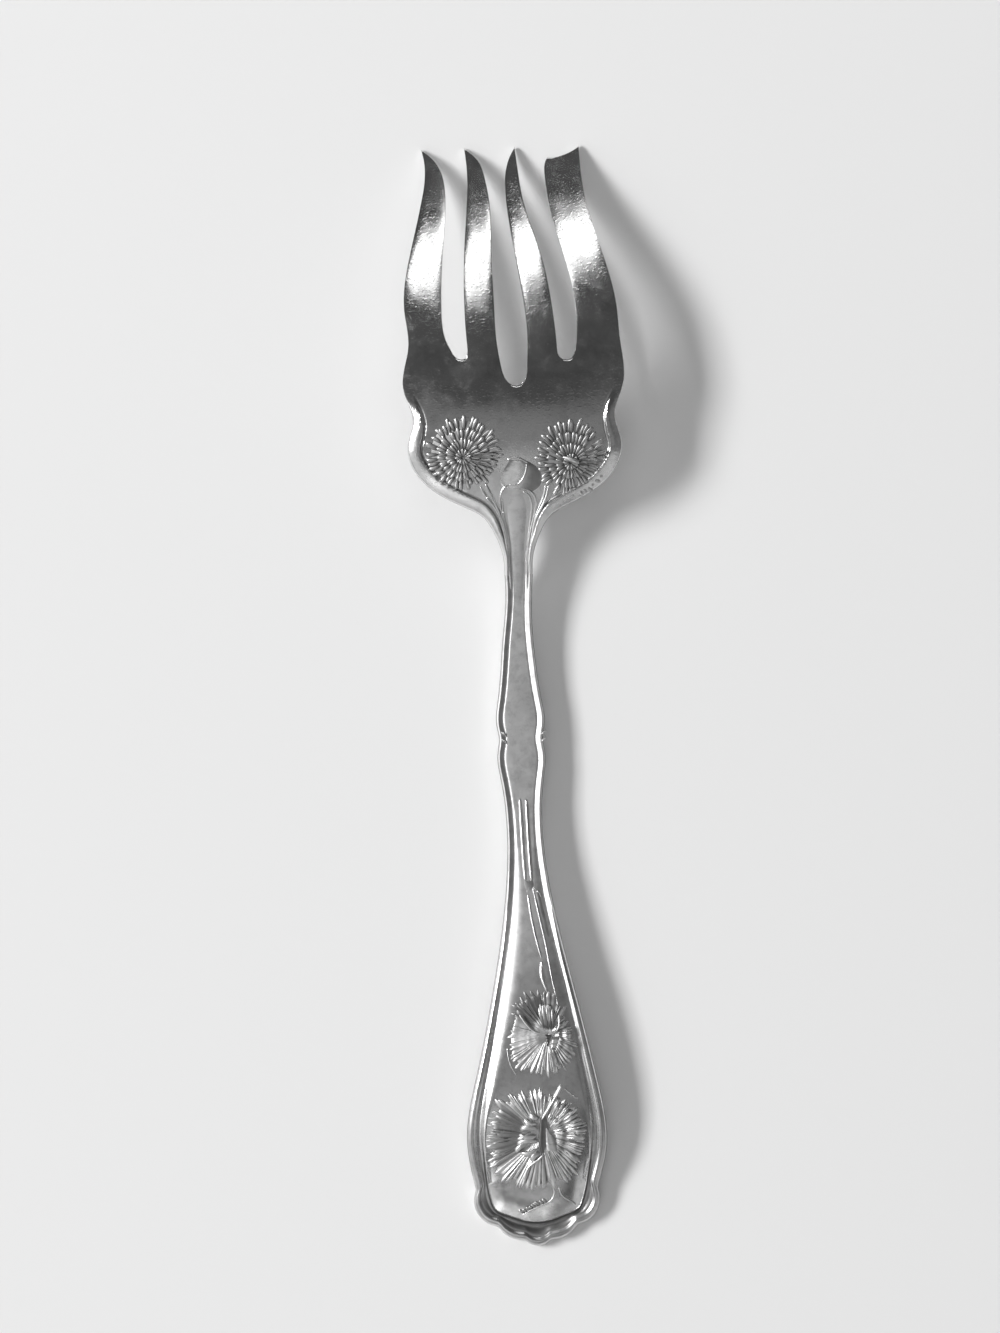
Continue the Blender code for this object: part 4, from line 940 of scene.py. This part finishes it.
# Light: one bright window low on the left casts the shadow, pale panels overhead and pale walls at the
# sides stand in the polish as bright bands, and a wide fill, which the polish doesn't mirror, lifts the
# table. The room behind them has a faint glow. Each lamp's power follows from its brightness.
def panel(name, at, aim, size, brightness, turn=0):
    """Flat lamp at a point, facing another and turned about its middle by degrees; power is pi times
    brightness times area."""
    lamp = bpy.data.lights.new(name, "AREA")
    lamp.shape = "RECTANGLE"
    lamp.size, lamp.size_y = size
    lamp.energy = np.pi * brightness * size[0] * size[1]
    holder = bpy.data.objects.new(name, lamp)
    holder.location = at
    back_axis = np.array(at, float) - np.array(aim, float)
    back_axis /= np.linalg.norm(back_axis)
    sideways = np.cross((0, 1, 0), back_axis)
    sideways /= np.linalg.norm(sideways)
    upward = np.cross(back_axis, sideways)
    c, s = np.cos(np.radians(turn)), np.sin(np.radians(turn))
    axes = np.c_[c * sideways + s * upward, c * upward - s * sideways, back_axis]
    holder.rotation_euler = Matrix(axes.tolist()).to_euler()
    holder.visible_camera = False
    bpy.context.scene.collection.objects.link(holder)
    return holder


swing, height = np.radians(12.6), np.radians(36)
toward = np.array([-np.cos(swing), np.sin(swing), np.tan(height)])
toward /= np.linalg.norm(toward)
panel("window", 4 * toward, (0, 0, 0), (0.836, 1.764), 34.5)
for name, x, y, size, brightness in (
    ("near_panel", 0, -0.035, (1.2, 0.07), 0.11), ("low_panel", 0, -0.165, (1.2, 0.19), 0.14),
    ("neck_panel", -0.07, -0.36, (0.28, 0.2), 0.52), ("end_panel", 0.045, -0.68, (0.08, 0.3), 1.2),
    ("end_side_panel", -0.1, -0.74, (0.05, 0.22), 1.5),
):
    panel(name, (x, y, 0.6), (x, y, 0), size, brightness)
panel("near_wall", (-0.44, -0.865, 0.705), (0, 0, 0), (0.34, 0.3), 1.1)
panel("right_wall", (0.58, -0.68, 0.45), (0, 0, 0), (0.7, 0.6), 0.4)
panel("left_wall", (-1.0, -0.2, 0.62), (0, 0, 0), (0.3, 0.25), 1.2)
panel("far_panel", (0.06, 0.682, 0.6), (0.06, 0.682, 0), (0.65, 0.22), 2.0, 45)
fill = panel("fill_panel", (0, 0, 1.8), (0, 0, 0), (2, 2), 0.46)
fill.visible_glossy = False

world = bpy.context.scene.world or bpy.data.worlds.new("room")
bpy.context.scene.world = world
world.use_nodes = True
nodes, links = world.node_tree.nodes, world.node_tree.links
direction = nodes.new("ShaderNodeTexCoord")
split = nodes.new("ShaderNodeSeparateXYZ")
links.new(direction.outputs["Generated"], split.inputs["Vector"])


def ramp(axis, *ends):
    """Straight ramp of the glow along one axis of the direction: from, to, first and last value, which
    it keeps beyond its ends."""
    node = nodes.new("ShaderNodeMapRange")
    for socket, number in zip(("From Min", "From Max", "To Min", "To Max"), ends):
        node.inputs[socket].default_value = number
    links.new(split.outputs[axis], node.inputs["Value"])
    return node.outputs["Result"]


def product(a, b):
    """Product of two values of the glow."""
    node = nodes.new("ShaderNodeMath")
    node.operation = "MULTIPLY"
    links.new(a, node.inputs[0])
    links.new(b, node.inputs[1])
    return node.outputs["Value"]


band = product(ramp("Z", 0.22, 0.42, 0.35, 1), ramp("Z", 0.55, 0.75, 1, 0))
aside = product(ramp("Y", 0.35, 0.65, 1, 0), ramp("X", -0.5, 0.3, 0.6, 0.12))
lowest = nodes.new("ShaderNodeMath")
lowest.operation = "ADD"
lowest.inputs[1].default_value = 0.06
links.new(product(band, aside), lowest.inputs[0])
links.new(lowest.outputs["Value"], nodes["Background"].inputs["Color"])


# Camera: straight above the table and turned a little, as the fork was photographed. Its lens takes in
# the seen height of the table from its distance.
distance, seen = 1.2, 0.2627
lens = bpy.data.cameras.new("overhead")
lens.sensor_fit = "VERTICAL"
lens.sensor_height = 36
lens.lens = lens.sensor_height * distance / seen
camera = bpy.data.objects.new("overhead", lens)
camera.location = (-0.00419, 0.00602, distance)
camera.rotation_euler = (0, 0, np.radians(-1.7))
bpy.context.scene.collection.objects.link(camera)
bpy.context.scene.camera = camera
bpy.context.scene.view_settings.view_transform = "Standard"
